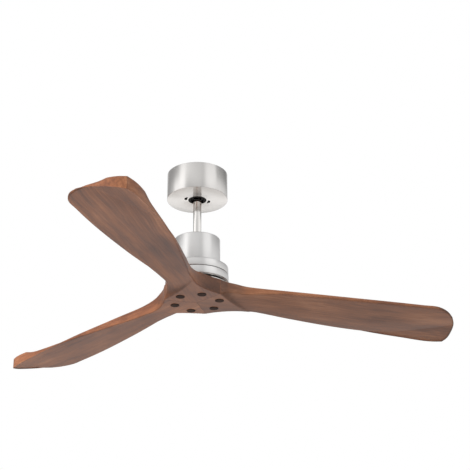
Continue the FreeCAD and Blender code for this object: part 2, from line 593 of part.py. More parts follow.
def blade_outline():
    """The blade seen from above, from the hub's centre out to the tip and back."""
    gap = size("seam_gap") / 2
    centre = Vector(gap / math.sin(math.radians(60)), 0, 0)
    leading = [Vector(x, y, 0) for x, y in LEADING_EDGE]
    leading[0].x += gap
    trailing = [Vector(x, y, 0) for x, y in TRAILING_EDGE]
    trailing[-1].x += gap
    curves = []
    out_run = Part.BSplineCurve()
    out_run.interpolate(leading + [Vector(x, y, 0) for x, y in TIP])
    curves.append(out_run.toShape())
    corner = Part.Arc(Vector(*TIP[-1], 0), Vector(*TIP_CORNER, 0), trailing[0])
    curves.append(corner.toShape())
    back_run = Part.BSplineCurve()
    back_run.interpolate(trailing)
    curves.append(back_run.toShape())
    curves.append(Part.makeLine(trailing[-1], centre))
    curves.append(Part.makeLine(centre, leading[0]))
    return Part.Face(Part.Wire(curves))


def edge_at(points, x):
    """Across-blade position of an edge at a distance out, along straight runs."""
    ordered = sorted(points)
    for (x0, y0), (x1, y1) in zip(ordered, ordered[1:]):
        if x0 <= x <= x1:
            return y0 + (y1 - y0) * (x - x0) / (x1 - x0)
    return ordered[-1][1]


def panel_lines(x, leading_thickness, trailing_thickness):
    """Underside and top of the panel at one station, as lines widened by the margin."""
    lead_y = edge_at(LEADING_EDGE + TIP[:1] + [(664, -84)], x)
    trail_y = edge_at(TRAILING_EDGE + [(664, 64)], x)
    slope = size("blade_rise") / (trail_y - lead_y)
    middle = size("panel_height") - size("blade_droop") * (x - size("panel_start"))
    lines = []
    for lead_lift, trail_lift in ((0, 0), (leading_thickness, trailing_thickness)):
        lead_z = middle - slope * lead_y + lead_lift
        trail_z = middle - slope * trail_y + trail_lift
        tilt = (trail_z - lead_z) / (trail_y - lead_y)
        lines.append((Vector(x, lead_y - MARGIN, lead_z - tilt * MARGIN),
                      Vector(x, trail_y + MARGIN, trail_z + tilt * MARGIN)))
    return lines


def standing_wire(low_left, low_right, high_left, high_right):
    """A four-cornered wire in a vertical plane."""
    return Part.makePolygon([low_left, low_right, high_right, high_left, low_left])


def blade_shape():
    """One blade, its own X outward, its Z up from the hub's flat underside."""
    thickness = size("hub_thickness")
    plank = blade_outline()
    plank.translate(Vector(0, 0, -DEEP))
    blank = plank.extrude(Vector(0, 0, DEEP + thickness))
    below = []
    above = []
    for x, leading_thickness, trailing_thickness in PANEL_STATIONS:
        under, top = panel_lines(x, leading_thickness, trailing_thickness)
        floor = [Vector(point.x, point.y, -DEEP - 1) for point in under]
        ceiling = [Vector(point.x, point.y, DEEP) for point in top]
        below.append(standing_wire(*floor, *under))
        above.append(standing_wire(*top, *ceiling))
    (x0, y0), (x1, y1) = CREASE
    crease_line = [Vector(x0, y0, 0), Vector(x1, y1, 0)]
    run = (crease_line[1] - crease_line[0]) * (MARGIN / math.dist(*CREASE))
    crease_line = [crease_line[0] - run, crease_line[1] + run]
    crease_floor = [Vector(point.x, point.y, -DEEP - 1) for point in crease_line]
    root_below = Part.makeLoft([standing_wire(*crease_floor, *crease_line), below[0]], True, True)
    panel_below = Part.makeLoft(below, True, False)
    hub_line = [Vector(-5, -DEEP * 2, 0), Vector(-5, DEEP * 2, 0)]
    hub_side = Part.makePolygon([hub_line[0], crease_line[0], crease_line[1], hub_line[1], hub_line[0]])
    hub_below = Part.Face(hub_side).extrude(Vector(0, 0, -DEEP - 1))
    shoulder = [Vector(SHOULDER, -DEEP, thickness), Vector(SHOULDER, DEEP, thickness)]
    shoulder_roof = [Vector(point.x, point.y, DEEP) for point in shoulder]
    root_above = Part.makeLoft([standing_wire(*shoulder, *shoulder_roof), above[0]], True, True)
    panel_above = Part.makeLoft(above, True, False)
    carved = blank
    for cutter in (hub_below, root_below, panel_below, root_above, panel_above):
        carved = carved.cut(cutter)
    solids = sorted(carved.Solids, key=lambda solid: solid.Volume)
    return solids[-1]


blade_blank = doc.addObject("Part::Feature", "blade_carving")
blade_blank.Shape = blade_shape()
for index in range(3):
    spin = Rotation(Vector(0, 0, 1), size("blade_angle") + 120 * index)
    bores = []
    for side, sign in (("left", -1), ("right", 1)):
        angle = math.radians(sign * size("blade_screw_spread"))
        across = f"blade_screw_circle * {math.cos(angle):.6f}"
        aside = f"blade_screw_circle * {math.sin(angle):.6f}"
        bores.append(rod(f"screw_bore_{index + 1}_{side}", "blade_bore_radius", "hub_thickness + 2",
                         across, aside, "-1"))
        bores.append(rod(f"counterbore_{index + 1}_{side}", "counterbore_radius",
                         "counterbore_depth + 1", across, aside, "-1"))
    blade = cut_from(f"blade_{index + 1}", blade_blank, bores)
    blade.Placement = Placement(Vector(0, 0, -size("hub_bottom")), spin)
    nodes.append(blade)

blade_screws = []
blade_washers = []
for index in range(6):
    sign = 1 if index % 2 else -1
    angle = math.radians(size("blade_angle") + 120 * (index // 2) + sign * size("blade_screw_spread"))
    x = f"blade_screw_circle * {math.cos(angle):.6f}"
    y = f"blade_screw_circle * {math.sin(angle):.6f}"
    seat = "-hub_bottom + counterbore_depth"
    blade_screws.append(screw(f"blade_screw_{index + 1}", "5", "4", "2.45", "hub_thickness - 14", x, y,
                              f"{seat} - washer_sheet"))
    disc = rod(f"washer_disc_{index + 1}", "9", "washer_sheet", x, y, f"{seat} - washer_sheet")
    bore = rod(f"washer_bore_{index + 1}", "2.6", "3", x, y, f"{seat} - 2")
    blade_washers.append(cut_from(f"blade_washer_{index + 1}", disc, [bore]))
nodes.append(group("blade_screws", blade_screws))
nodes.append(group("blade_washers", blade_washers))

# ---- check every feature, then write one STEP file for each piece ----------------------
doc.recompute()
failed = [item.Name for item in doc.Objects if {"Invalid", "Error"} & set(item.State)]
if failed:
    raise SystemExit("features not made: " + ", ".join(failed))
os.makedirs("parts", exist_ok=True)
for node in nodes:
    if node.Shape.isNull() or not node.Shape.isValid():
        raise SystemExit("bad shape: " + node.Label)
    node.Shape.exportStep(f"parts/{node.Label}.step")
print(len(nodes), "pieces written")
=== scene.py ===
import math

import bmesh
import bpy
import numpy as np
from mathutils import Matrix, Vector


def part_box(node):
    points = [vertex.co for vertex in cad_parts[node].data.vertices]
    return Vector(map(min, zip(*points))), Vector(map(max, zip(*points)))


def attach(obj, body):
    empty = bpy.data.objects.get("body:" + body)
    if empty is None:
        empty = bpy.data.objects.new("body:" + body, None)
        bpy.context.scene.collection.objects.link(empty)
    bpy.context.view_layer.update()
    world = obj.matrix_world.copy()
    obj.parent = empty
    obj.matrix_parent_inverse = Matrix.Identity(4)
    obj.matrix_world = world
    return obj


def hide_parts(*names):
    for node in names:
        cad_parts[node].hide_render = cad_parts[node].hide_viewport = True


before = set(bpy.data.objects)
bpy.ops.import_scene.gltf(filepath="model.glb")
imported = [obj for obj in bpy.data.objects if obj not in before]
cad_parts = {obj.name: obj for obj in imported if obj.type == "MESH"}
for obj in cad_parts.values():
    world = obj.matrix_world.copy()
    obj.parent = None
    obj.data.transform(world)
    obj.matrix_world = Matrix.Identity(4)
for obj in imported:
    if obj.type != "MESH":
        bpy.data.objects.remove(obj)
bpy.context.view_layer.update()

# ------------------------------------------------
# Viewpoint. The fan is seen from below and in front, as somebody standing in the room
# sees it, with a long lens a little under the level of the blades.
EYE = Vector((-0.0123, -2.4986, -1.294))
PITCH = math.radians(24.37)
YAW = math.radians(2.38)
ROLL = math.radians(-0.62)
forward = Vector((math.sin(YAW) * math.cos(PITCH), math.cos(YAW) * math.cos(PITCH),
                  math.sin(PITCH)))
level = Vector((math.cos(YAW), -math.sin(YAW), 0))
upright = level.cross(forward)
right = level * math.cos(ROLL) + upright * math.sin(ROLL)
up = upright * math.cos(ROLL) - level * math.sin(ROLL)
lens = bpy.data.cameras.new("viewpoint")
lens.lens = 86.75
lens.sensor_width = 36
lens.clip_end = 60


def shown(name, content):
    """An object at the origin, in the scene."""
    thing = bpy.data.objects.new(name, content)
    bpy.context.scene.collection.objects.link(thing)
    return thing


viewpoint = shown("viewpoint", lens)
turn = Matrix((right, up, -forward)).transposed().to_4x4()
viewpoint.matrix_world = Matrix.Translation(EYE) @ turn
bpy.context.scene.camera = viewpoint
bpy.context.scene.view_settings.view_transform = "Standard"

# ------------------------------------------------
# Studio. White and grey walls for the metal to mirror, a warm softbox high on the left, a
# weaker one high on the right and a cove light low behind. The pale floor lights the
# undersides of the blades.
def adder(tree):
    """A function that adds a node: its settings, then its inputs by name or as i0, i1..."""
    def add(kind, settings=None, **inputs):
        node = tree.nodes.new(kind)
        for key, value in (settings or {}).items():
            setattr(node, key, value)
        for key, value in inputs.items():
            numbered = key[0] == "i" and key[1:].isdigit()
            socket = node.inputs[int(key[1:]) if numbered else key.replace("_", " ")]
            if isinstance(value, bpy.types.NodeSocket):
                tree.links.new(value, socket)
            else:
                socket.default_value = value
        return node
    return add


def nodes_of(shaded):
    """Empties a material's or world's nodes, and gives a function that adds linked ones."""
    shaded.use_nodes = True
    shaded.node_tree.nodes.clear()
    return adder(shaded.node_tree)


def ranged(add, value, low, high, start=0.0, end=1.0):
    """The value, from start to end, spread over low to high."""
    spread = add("ShaderNodeMapRange", Value=value)
    for socket, amount in (("From Min", start), ("From Max", end), ("To Min", low), ("To Max", high)):
        spread.inputs[socket].default_value = amount
    return spread.outputs[0]


def mixed(add, share, first, second):
    """The first colour, turning into the second as the share goes to 1."""
    return add("ShaderNodeMix", {"data_type": "RGBA"}, i0=share, i6=first, i7=second).outputs[2]


def scaled(add, colour, amount):
    """The colour made lighter or darker."""
    return add("ShaderNodeVectorMath", {"operation": "SCALE"}, i0=colour, Scale=amount).outputs[0]


def ramp(add, value, stops):
    """A colour ramp through (position, grey or colour) stops."""
    node = add("ShaderNodeValToRGB", i0=value)
    band = node.color_ramp
    while len(band.elements) < len(stops):
        band.elements.new(0.5)
    for element, (position, colour) in zip(band.elements, stops):
        element.position = position
        rgb = (colour,) * 3 if isinstance(colour, (int, float)) else colour
        element.color = (*rgb, 1)
    return node.outputs["Color"]


world = bpy.data.worlds.new("studio")
bpy.context.scene.world = world
add = nodes_of(world)
ray = add("ShaderNodeSeparateXYZ", i0=add("ShaderNodeTexCoord").outputs["Generated"]).outputs
backward = add("ShaderNodeMath", {"operation": "MULTIPLY"}, i0=ray["Y"], i1=-1.0).outputs[0]
bearing = add("ShaderNodeMath", {"operation": "ARCTAN2"}, i0=ray["X"], i1=backward).outputs[0]
around = ranged(add, bearing, 0.0, 1.0, -math.pi, math.pi)


def walls_by_bearing(glows):
    """How bright the walls are at bearings from the viewer's side, positive to the right."""
    return ramp(add, around, [((degrees + 180) / 360, glow) for degrees, glow in glows])


high_walls = walls_by_bearing([
    (-180, 0.85), (-162, 0.75), (-147, 0.34), (-97, 0.30), (-87, 0.40), (-78, 0.66), (-71, 1.06),
    (-65, 1.30), (-52, 1.36), (-44, 1.16), (-28, 1.02), (-6, 0.87), (12, 0.80), (22, 0.72),
    (27, 0.80), (34, 1.04), (44, 1.12), (72, 1.12), (79, 0.72), (84, 0.40), (105, 0.28),
    (128, 0.17), (150, 0.22), (163, 0.75), (180, 0.85)])
low_walls = walls_by_bearing([
    (-180, 0.85), (-163, 0.75), (-150, 0.40), (-128, 0.46), (-108, 0.70), (-99, 1.00),
    (-90, 1.45), (-60, 1.55), (-50, 1.40), (-44, 0.96), (-38, 0.78), (-30, 0.75), (-8, 0.83),
    (8, 0.80), (20, 0.72), (28, 0.92), (36, 1.12), (52, 1.22), (68, 1.10), (88, 1.10),
    (112, 0.95), (130, 0.80), (150, 0.60), (180, 0.85)])
walls = mixed(add, ranged(add, ray["Z"], 0.0, 1.0, 0.417, 0.447), low_walls, high_walls)
walls = scaled(add, walls, ranged(add, ray["Z"], 0.35, 1.0, 0.05, 0.34))
room = mixed(add, ranged(add, ray["Z"], 0.0, 1.0, 0.45, 0.95), walls, (0.6, 0.6, 0.6, 1))
capped = mixed(add, ranged(add, ray["Z"], 0.0, 1.0, 0.82, 0.92), room, (0.12, 0.12, 0.12, 1))
seen = add("ShaderNodeLightPath")
backdrop = add("ShaderNodeBackground", Color=(1, 1, 1, 1), Strength=1.0)
studio = add("ShaderNodeBackground", Color=capped, Strength=1.0)
either = add("ShaderNodeMixShader", i0=seen.outputs["Is Camera Ray"], i1=studio.outputs[0],
             i2=backdrop.outputs[0])
add("ShaderNodeOutputWorld", Surface=either.outputs[0])


def surfaced(material, add, **inputs):
    """Closes a finish with its one shader."""
    shader = add("ShaderNodeBsdfPrincipled", **inputs)
    add("ShaderNodeOutputMaterial", Surface=shader.outputs[0])
    return material


FLOOR_LEVEL = -2.6
FLOOR_SIZE = 14.0
floor_mesh = bpy.data.meshes.new("floor")
half = FLOOR_SIZE / 2
floor_mesh.from_pydata([(-half, -half, FLOOR_LEVEL), (half, -half, FLOOR_LEVEL),
                        (half, half, FLOOR_LEVEL), (-half, half, FLOOR_LEVEL)], [], [(0, 1, 2, 3)])
floor_paint = bpy.data.materials.new("floor_paint")
surfaced(floor_paint, nodes_of(floor_paint), Base_Color=(0.83, 0.82, 0.81, 1), Roughness=0.7)
floor_mesh.materials.append(floor_paint)
shown("floor", floor_mesh)


def on_circle(reach, angle):
    """The plan point at a distance from the axis, at an angle."""
    return reach * math.cos(angle), reach * math.sin(angle)


# A piece of ceiling over the canopy keeps daylight out of it.
PATCH_RADIUS, PATCH_HEIGHT = 0.070, 0.0004
patch_mesh = bpy.data.meshes.new("ceiling_patch")
patch_ring = [(*on_circle(PATCH_RADIUS, step * math.pi / 24), PATCH_HEIGHT) for step in range(48)]
patch_mesh.from_pydata(patch_ring, [], [tuple(range(48))])
patch_mesh.materials.append(floor_paint)
patch = shown("ceiling_patch", patch_mesh)
patch.visible_camera = False


def softbox(name, place, target, width, height, watts, colour=(1, 1, 1), in_reflections=False):
    """A rectangular light that faces a point. Polarising film can keep it off shiny metal."""
    light = bpy.data.lights.new(name, "AREA")
    light.shape = "RECTANGLE"
    light.size = width
    light.size_y = height
    light.energy = watts
    light.color = colour
    lamp = shown(name, light)
    lamp.location = place
    lamp.rotation_euler = (Vector(target) - Vector(place)).to_track_quat("-Z", "Y").to_euler()
    lamp.visible_camera = False
    lamp.visible_glossy = in_reflections


HUB = (0, 0, -0.32)
softbox("key_left", (-2.5, -1.6, 1.5), HUB, 1.6, 1.8, 225, (1.0, 0.94, 0.88))
softbox("fill_right", (1.8, -2.6, 1.4), HUB, 1.1, 2.2, 44)
softbox("cove_back", (0, 4.8, -2.3), HUB, 7.0, 2.0, 24, in_reflections=True)

# ------------------------------------------------
# Ceiling bracket. A U of folded steel sheet, painted black, screwed to the ceiling through
# two slots. Its floor carries the pressed collar in which the hanger ball sits.
def dress(material, *node_names):
    """Gives the finish to pieces whose shape is already right."""
    for node_name in node_names:
        for finish_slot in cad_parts[node_name].material_slots:
            finish_slot.material = material


def begun(name):
    """A new finish: its material, a function that adds its nodes, and the place on the piece."""
    material = bpy.data.materials.new(name)
    add = nodes_of(material)
    return material, add, add("ShaderNodeTexCoord").outputs["Object"]


def coated(name, colour, roughness, texture_size, relief, **shader_inputs):
    """A painted or moulded skin: fine even texture, faint mottling, a slightly uneven gloss."""
    material, add, place = begun(name)
    texture = add("ShaderNodeTexNoise", Vector=place, Scale=1 / texture_size, Detail=2.0)
    mottle = add("ShaderNodeTexNoise", Vector=place, Scale=30.0, Detail=3.0).outputs["Fac"]
    bump = add("ShaderNodeBump", Strength=relief, Distance=texture_size / 4,
               Height=texture.outputs["Fac"])
    return surfaced(material, add, Base_Color=scaled(add, colour, ranged(add, mottle, 0.86, 1.14)),
                    Roughness=ranged(add, mottle, roughness - 0.06, roughness + 0.06),
                    Normal=bump.outputs[0], **shader_inputs)


black_paint = coated("black_paint", (0.010, 0.010, 0.010), 0.50, 0.0012, 0.25, Specular_IOR_Level=0.12)
dress(black_paint, "ceiling_bracket", "blade_carrier")

# ------------------------------------------------
# Supply terminals, earth screw and remote receiver. Bought parts: a white moulded block on
# one leg of the bracket, a brass earth screw on the other, and a black box over the ball.
def bare_metal(name, colour, roughness, grain_size, relief, stretch=(1, 1, 1)):
    """Uncoated metal: grain from casting, grinding or plating, with small stains."""
    material, add, place = begun(name)
    drawn = add("ShaderNodeMapping", Vector=place, Scale=stretch).outputs[0]
    grain = add("ShaderNodeTexNoise", Vector=drawn, Scale=1 / grain_size, Detail=4.0,
                Roughness=0.65).outputs["Fac"]
    stains = add("ShaderNodeTexNoise", Vector=place, Scale=45.0, Detail=2.0).outputs["Fac"]
    bump = add("ShaderNodeBump", Strength=relief, Distance=grain_size / 5, Height=grain)
    return surfaced(material, add, Base_Color=scaled(add, colour, ranged(add, stains, 0.88, 1.10)),
                    Roughness=ranged(add, grain, roughness - 0.08, roughness + 0.10),
                    Metallic=1.0, Normal=bump.outputs[0])


def board_finish():
    """Green solder mask over a grid of copper tracks, with pale bare pads."""
    material, add, place = begun("circuit_board")
    tracks = add("ShaderNodeTexBrick", Vector=place, Scale=260.0, Mortar_Size=0.06,
                 Color1=(0.012, 0.085, 0.030, 1), Color2=(0.016, 0.105, 0.040, 1),
                 Mortar=(0.045, 0.190, 0.070, 1))
    pads = add("ShaderNodeTexVoronoi", Vector=place, Scale=320.0)
    pad = ranged(add, pads.outputs["Distance"], 1.0, 0.0, 0.10, 0.14)
    return surfaced(material, add, Roughness=ranged(add, pad, 0.32, 0.20),
                    Base_Color=mixed(add, pad, tracks.outputs["Color"], (0.55, 0.53, 0.48, 1)))


zinc_plate = bare_metal("zinc_plate", (0.64, 0.64, 0.61), 0.30, 0.0012, 0.15)
dress(coated("white_nylon", (0.80, 0.79, 0.75), 0.45, 0.0008, 0.15), "terminal_block")
dress(bare_metal("brass", (0.72, 0.50, 0.20), 0.28, 0.0010, 0.15), "earth_screw")
moulded_black = coated("moulded_black", (0.020, 0.020, 0.021), 0.48, 0.0007, 0.35)
dress(moulded_black, "receiver_case", "receiver_lid", "capacitor")
dress(board_finish(), "receiver_board")
dress(zinc_plate, "terminal_screw", "ball_pin", "ball_set_screw", "yoke_pin", "yoke_clip",
      "yoke_set_screws", "capacitor_clip", "shaft_circlip")

# ------------------------------------------------
# Canopy. A spun cup, nickel plated and brushed on the lathe, so the scratches run round the
# axis. Two screws hold it up through short curved slots beside the hole for the downrod.
MM = 0.001


def span(node_name):
    """A turned node's lowest level, highest level and outer radius, in mm."""
    low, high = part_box(node_name)
    return low.z / MM, high.z / MM, high.x / MM


def lathed(name, sections, steps, centre=(0, 0)):
    """A mesh of closed half sections, as (radius, height) in mm, turned about an upright axis."""
    points, faces = [], []
    angles = np.linspace(0, 2 * math.pi, steps, endpoint=False)
    for section in sections:
        start, count = len(points), len(section)
        points += [((centre[0] + r * math.cos(a)) * MM, (centre[1] + r * math.sin(a)) * MM, z * MM)
                   for a in angles for r, z in section]
        for step in range(steps):
            here, there = start + step * count, start + (step + 1) % steps * count
            for index in range(count):
                after = (index + 1) % count
                faces.append((here + index, here + after, there + after, there + index))
    mesh = bpy.data.meshes.new(name)
    mesh.from_pydata(points, [], faces)
    finish_mesh(mesh)
    return mesh


def finish_mesh(mesh, sharp_degrees=32):
    """Welds doubles, turns faces outwards and shades smooth except over sharp edges."""
    work = bmesh.new()
    work.from_mesh(mesh)
    bmesh.ops.remove_doubles(work, verts=work.verts, dist=1e-6)
    bmesh.ops.dissolve_degenerate(work, edges=work.edges, dist=1e-7)
    bmesh.ops.recalc_face_normals(work, faces=work.faces)
    for face in work.faces:
        face.smooth = True
    for edge in work.edges:
        if len(edge.link_faces) == 2:
            edge.smooth = edge.calc_face_angle(0) < math.radians(sharp_degrees)
    work.to_mesh(mesh)
    work.free()


def fitted(piece, body, slot, *node_names):
    """Fixes a finished piece to its body, in place of the plain nodes."""
    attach(piece, body)
    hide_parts(*node_names)


def plain_mesh(piece):
    """Bakes a piece's modifiers into its mesh."""
    graph = bpy.context.evaluated_depsgraph_get()
    mesh = bpy.data.meshes.new_from_object(piece.evaluated_get(graph))
    piece.modifiers.clear()
    piece.data = mesh
    mesh.name = piece.name
    return mesh


def cut_away(piece, tool_mesh, lining):
    """Takes a solid tool's shape out of a piece, and gives the cut faces the lining."""
    tool_mesh.materials.append(lining)
    tool = shown(piece.name + "_tool", tool_mesh)
    cut = piece.modifiers.new("cut", "BOOLEAN")
    cut.operation = "DIFFERENCE"
    cut.solver = "EXACT"
    cut.material_mode = "TRANSFER"
    cut.object = tool
    bpy.context.view_layer.update()
    mesh = plain_mesh(piece)
    bpy.data.objects.remove(tool)
    return mesh


def rounded(corners, radii, steps=4):
    """The outline with each corner replaced by an arc of its radius."""
    outline = []
    points = [Vector(corner) for corner in corners]
    for index, (corner, radius) in enumerate(zip(points, radii)):
        before, after = points[index - 1], points[(index + 1) % len(points)]
        if not radius:
            outline.append(tuple(corner))
            continue
        into, out = (before - corner).normalized(), (after - corner).normalized()
        half_angle = into.angle(out) / 2
        reach = radius / math.tan(half_angle)
        centre = corner + (into + out).normalized() * (radius / math.sin(half_angle))
        start, end = corner + into * reach - centre, corner + out * reach - centre
        sweep = start.angle(end)
        for step in range(steps + 1):
            share = step / steps
            arm = start * math.sin((1 - share) * sweep) + end * math.sin(share * sweep)
            outline.append(tuple(centre + arm / math.sin(sweep)))
    return outline


def turned_metal(name, colour, roughness, brushing, anisotropic):
    """Plated metal brushed round the axis: fine rings, faint blotches, an uneven sheen."""
    material, add, place = begun(name)
    split = add("ShaderNodeSeparateXYZ", i0=place).outputs
    flat = add("ShaderNodeCombineXYZ", X=split["X"], Y=split["Y"])
    radius = add("ShaderNodeVectorMath", {"operation": "LENGTH"}, i0=flat.outputs[0])
    rings = add("ShaderNodeCombineXYZ", X=radius.outputs["Value"], Y=split["Z"])
    sideways = add("ShaderNodeVectorMath", {"operation": "MULTIPLY_ADD"}, i0=place,
                   i1=(9.0, 9.0, 0.0), i2=scaled(add, rings.outputs[0], 1400.0))
    scratches = add("ShaderNodeTexNoise", Vector=sideways.outputs[0], Scale=1.0, Detail=3.0,
                    Roughness=0.6).outputs["Fac"]
    blotches = add("ShaderNodeTexNoise", Vector=place, Scale=14.0, Detail=2.0).outputs["Fac"]
    shade = add("ShaderNodeMath", {"operation": "MULTIPLY"}, i0=ranged(add, blotches, 0.97, 1.03),
                i1=ranged(add, scratches, 0.98, 1.02))
    relief = add("ShaderNodeBump", Strength=brushing, Distance=0.00002, Height=scratches)
    lathe_way = add("ShaderNodeTangent", {"direction_type": "RADIAL", "axis": "Z"})
    return surfaced(material, add, Base_Color=scaled(add, colour, shade.outputs[0]), Metallic=1.0,
                    Roughness=ranged(add, scratches, roughness - 0.02, roughness + 0.03),
                    Normal=relief.outputs[0], Tangent=lathe_way.outputs[0],
                    Anisotropic=anisotropic, Anisotropic_Rotation=0.25)


brushed_nickel = turned_metal("brushed_nickel", (0.76, 0.74, 0.72), 0.21, 0.15, 0.72)


def spun(name, corners, radii, body, slot, node_name, material, steps=160):
    """A turned piece whose section has its corners rounded."""
    mesh = lathed(name, [rounded(corners, radii)], steps)
    mesh.materials.append(material)
    piece = shown(name, mesh)
    fitted(piece, body, slot, node_name)
    return piece


canopy_bottom, canopy_top, canopy_radius = span("canopy")
CANOPY_WALL = 1.2
CANOPY_HOLE = 22.3
SLOT_CIRCLE = 29.0
SLOT_HALF_WIDTH = 2.5
SLOT_START, SLOT_TURN = 14.0, 15.0
inner_radius = canopy_radius - CANOPY_WALL
canopy = spun("canopy_drum", [
    (CANOPY_HOLE, canopy_bottom), (canopy_radius, canopy_bottom), (canopy_radius, canopy_top),
    (inner_radius, canopy_top), (inner_radius, canopy_bottom + CANOPY_WALL),
    (CANOPY_HOLE, canopy_bottom + CANOPY_WALL)], [0.3, 0.6, 0.4, 0.4, 1.0, 0.3],
    "ceiling", "brushed_nickel", "canopy", brushed_nickel)


def curved_slot(start_degrees):
    """The outline of one slot: an arc round the axis with round ends."""
    outline = []
    for side, begin, turn in ((1, 0, 1), (-1, 1, -1)):
        for step in range(13):
            angle = math.radians(start_degrees + SLOT_TURN * (begin + turn * step / 12))
            outline.append(on_circle(SLOT_CIRCLE + side * SLOT_HALF_WIDTH, angle))
        end = math.radians(start_degrees + SLOT_TURN * (1 - begin))
        for step in range(1, 8):
            swing = end + math.pi * step / 8 + math.pi * begin
            arc_x, arc_y = on_circle(SLOT_HALF_WIDTH, swing)
            end_x, end_y = on_circle(SLOT_CIRCLE, end)
            outline.append((end_x + arc_x, end_y + arc_y))
    return outline


slots = bmesh.new()
for start in (SLOT_START, SLOT_START + 180):
    ring = [slots.verts.new((x * MM, y * MM, (canopy_bottom - 1) * MM)) for x, y in curved_slot(start)]
    floor_face = slots.faces.new(ring)
    lifted = bmesh.ops.extrude_face_region(slots, geom=[floor_face])["geom"]
    corners = [part for part in lifted if isinstance(part, bmesh.types.BMVert)]
    bmesh.ops.translate(slots, verts=corners, vec=(0, 0, 4 * MM))
bmesh.ops.recalc_face_normals(slots, faces=slots.faces)
slot_tool = bpy.data.meshes.new("slot_tool")
slots.to_mesh(slot_tool)
slots.free()
finish_mesh(cut_away(canopy, slot_tool, brushed_nickel))

# ------------------------------------------------
# Screws. Domed heads with a cross recess over a rolled thread. One tree makes every ring of
# them, each turned to where its thread happened to tighten.
THREAD_PITCH = 0.0008


def planted(name, **inputs):
    """A geometry tree with named inputs, listed by kind, its node adder and those inputs."""
    tree = bpy.data.node_groups.new(name, "GeometryNodeTree")
    for kind, labels in inputs.items():
        for label in labels.split(", "):
            tree.interface.new_socket(label, in_out="INPUT", socket_type="NodeSocket" + kind)
    tree.interface.new_socket("Geometry", in_out="OUTPUT", socket_type="NodeSocketGeometry")
    add = adder(tree)
    return tree, add, add("NodeGroupInput").outputs


def worked_out(operation, *values):
    """A sum on node values."""
    sockets = {f"i{index}": value for index, value in enumerate(values)}
    return add("ShaderNodeMath", {"operation": operation}, **sockets).outputs[0]


def times(first, second):
    """The product of two node values."""
    return worked_out("MULTIPLY", first, second)


def vector(**lengths):
    """A vector on node values."""
    return add("ShaderNodeCombineXYZ", **lengths).outputs[0]


def moved_up(geometry, height):
    """The geometry moved along the upright axis."""
    moved = add("GeometryNodeTransform", Geometry=geometry, Translation=vector(Z=height))
    return moved.outputs[0]


def joined(*geometries):
    """Geometries brought together."""
    together = add("GeometryNodeJoinGeometry")
    for geometry in geometries:
        together.id_data.links.new(geometry, together.inputs[0])
    return together.outputs[0]


def ended(geometry):
    """Ends a tree with real meshes in the finish asked for."""
    real = add("GeometryNodeRealizeInstances", Geometry=geometry)
    dressed = add("GeometryNodeSetMaterial", Geometry=real.outputs[0], Material=asked["Finish"])
    add("NodeGroupOutput", i0=dressed.outputs[0])


screw_ring, add, asked = planted(
    "ring_of_screws", Int="Count", Float="Circle, Start, Height, Head radius, Head height, "
    "Shank radius, Shank length, Upside down", Material="Finish")
head_radius, head_height = asked["Head radius"], asked["Head height"]
head = add("GeometryNodeMeshCylinder", {"fill_type": "TRIANGLE_FAN"}, Vertices=28, Side_Segments=2,
           Fill_Segments=4, Radius=head_radius, Depth=times(head_height, 0.7))
place = add("GeometryNodeInputPosition").outputs[0]
split = add("ShaderNodeSeparateXYZ", i0=place).outputs
reach = add("ShaderNodeVectorMath", {"operation": "LENGTH"}, i0=vector(X=split["X"], Y=split["Y"]))
share = worked_out("DIVIDE", reach.outputs["Value"], head_radius)
dome = worked_out("SUBTRACT", times(share, share), 1.0)
outer_end = add("FunctionNodeCompare", {"operation": "LESS_THAN"}, i0=split["Z"],
                i1=times(head_height, -0.3)).outputs[0]
domed = add("GeometryNodeSetPosition", Geometry=head.outputs["Mesh"], Selection=outer_end,
            Offset=vector(Z=times(dome, times(head_height, 0.3))))
long_side, short_side = times(head_radius, 1.15), times(head_radius, 0.24)
wings = []
for size_x, size_y in ((long_side, short_side), (short_side, long_side)):
    wing = add("GeometryNodeMeshCube", Size=vector(X=size_x, Y=size_y, Z=head_height))
    wings.append(moved_up(wing.outputs["Mesh"], times(head_height, -1.0)))
crossed = add("GeometryNodeMeshBoolean", {"operation": "DIFFERENCE"},
              i0=moved_up(domed.outputs[0], times(head_height, -0.35)), i1=joined(*wings), i2=True)
shank_length = asked["Shank length"]
shank = add("GeometryNodeMeshCylinder", Vertices=20, Radius=asked["Shank radius"],
            Depth=shank_length, Side_Segments=worked_out("DIVIDE", shank_length, THREAD_PITCH / 4))
wave = worked_out("SINE", times(split["Z"], 2 * math.pi / THREAD_PITCH))
bulge = worked_out("MULTIPLY_ADD", wave, 0.05, 0.95)
cut_thread = add("ShaderNodeVectorMath", {"operation": "MULTIPLY"}, i0=place,
                 i1=vector(X=bulge, Y=bulge, Z=1.0))
threaded = add("GeometryNodeSetPosition", Geometry=shank.outputs["Mesh"],
               Position=cut_thread.outputs[0])
whole = joined(crossed.outputs[0], moved_up(threaded.outputs[0], times(shank_length, 0.5)))
tipped = add("GeometryNodeTransform", Geometry=whole,
             Rotation=vector(X=times(asked["Upside down"], math.pi)))
holes = add("GeometryNodeMeshLine", Count=asked["Count"], Offset=(0, 0, 0))
hole_turn = worked_out("MULTIPLY_ADD", add("GeometryNodeInputIndex").outputs[0],
                       worked_out("DIVIDE", 2 * math.pi, asked["Count"]), asked["Start"])
started = add("GeometryNodeSetPosition", Geometry=holes.outputs[0], Position=vector(
    X=times(worked_out("COSINE", hole_turn), asked["Circle"]),
    Y=times(worked_out("SINE", hole_turn), asked["Circle"]), Z=asked["Height"]))
tightened = add("FunctionNodeRandomValue", {"data_type": "FLOAT_VECTOR"}, i1=(0, 0, math.pi), i8=5)
screws = add("GeometryNodeInstanceOnPoints", Points=started.outputs[0], Instance=tipped.outputs[0],
             Rotation=tightened.outputs[0])
ended(screws.outputs[0])


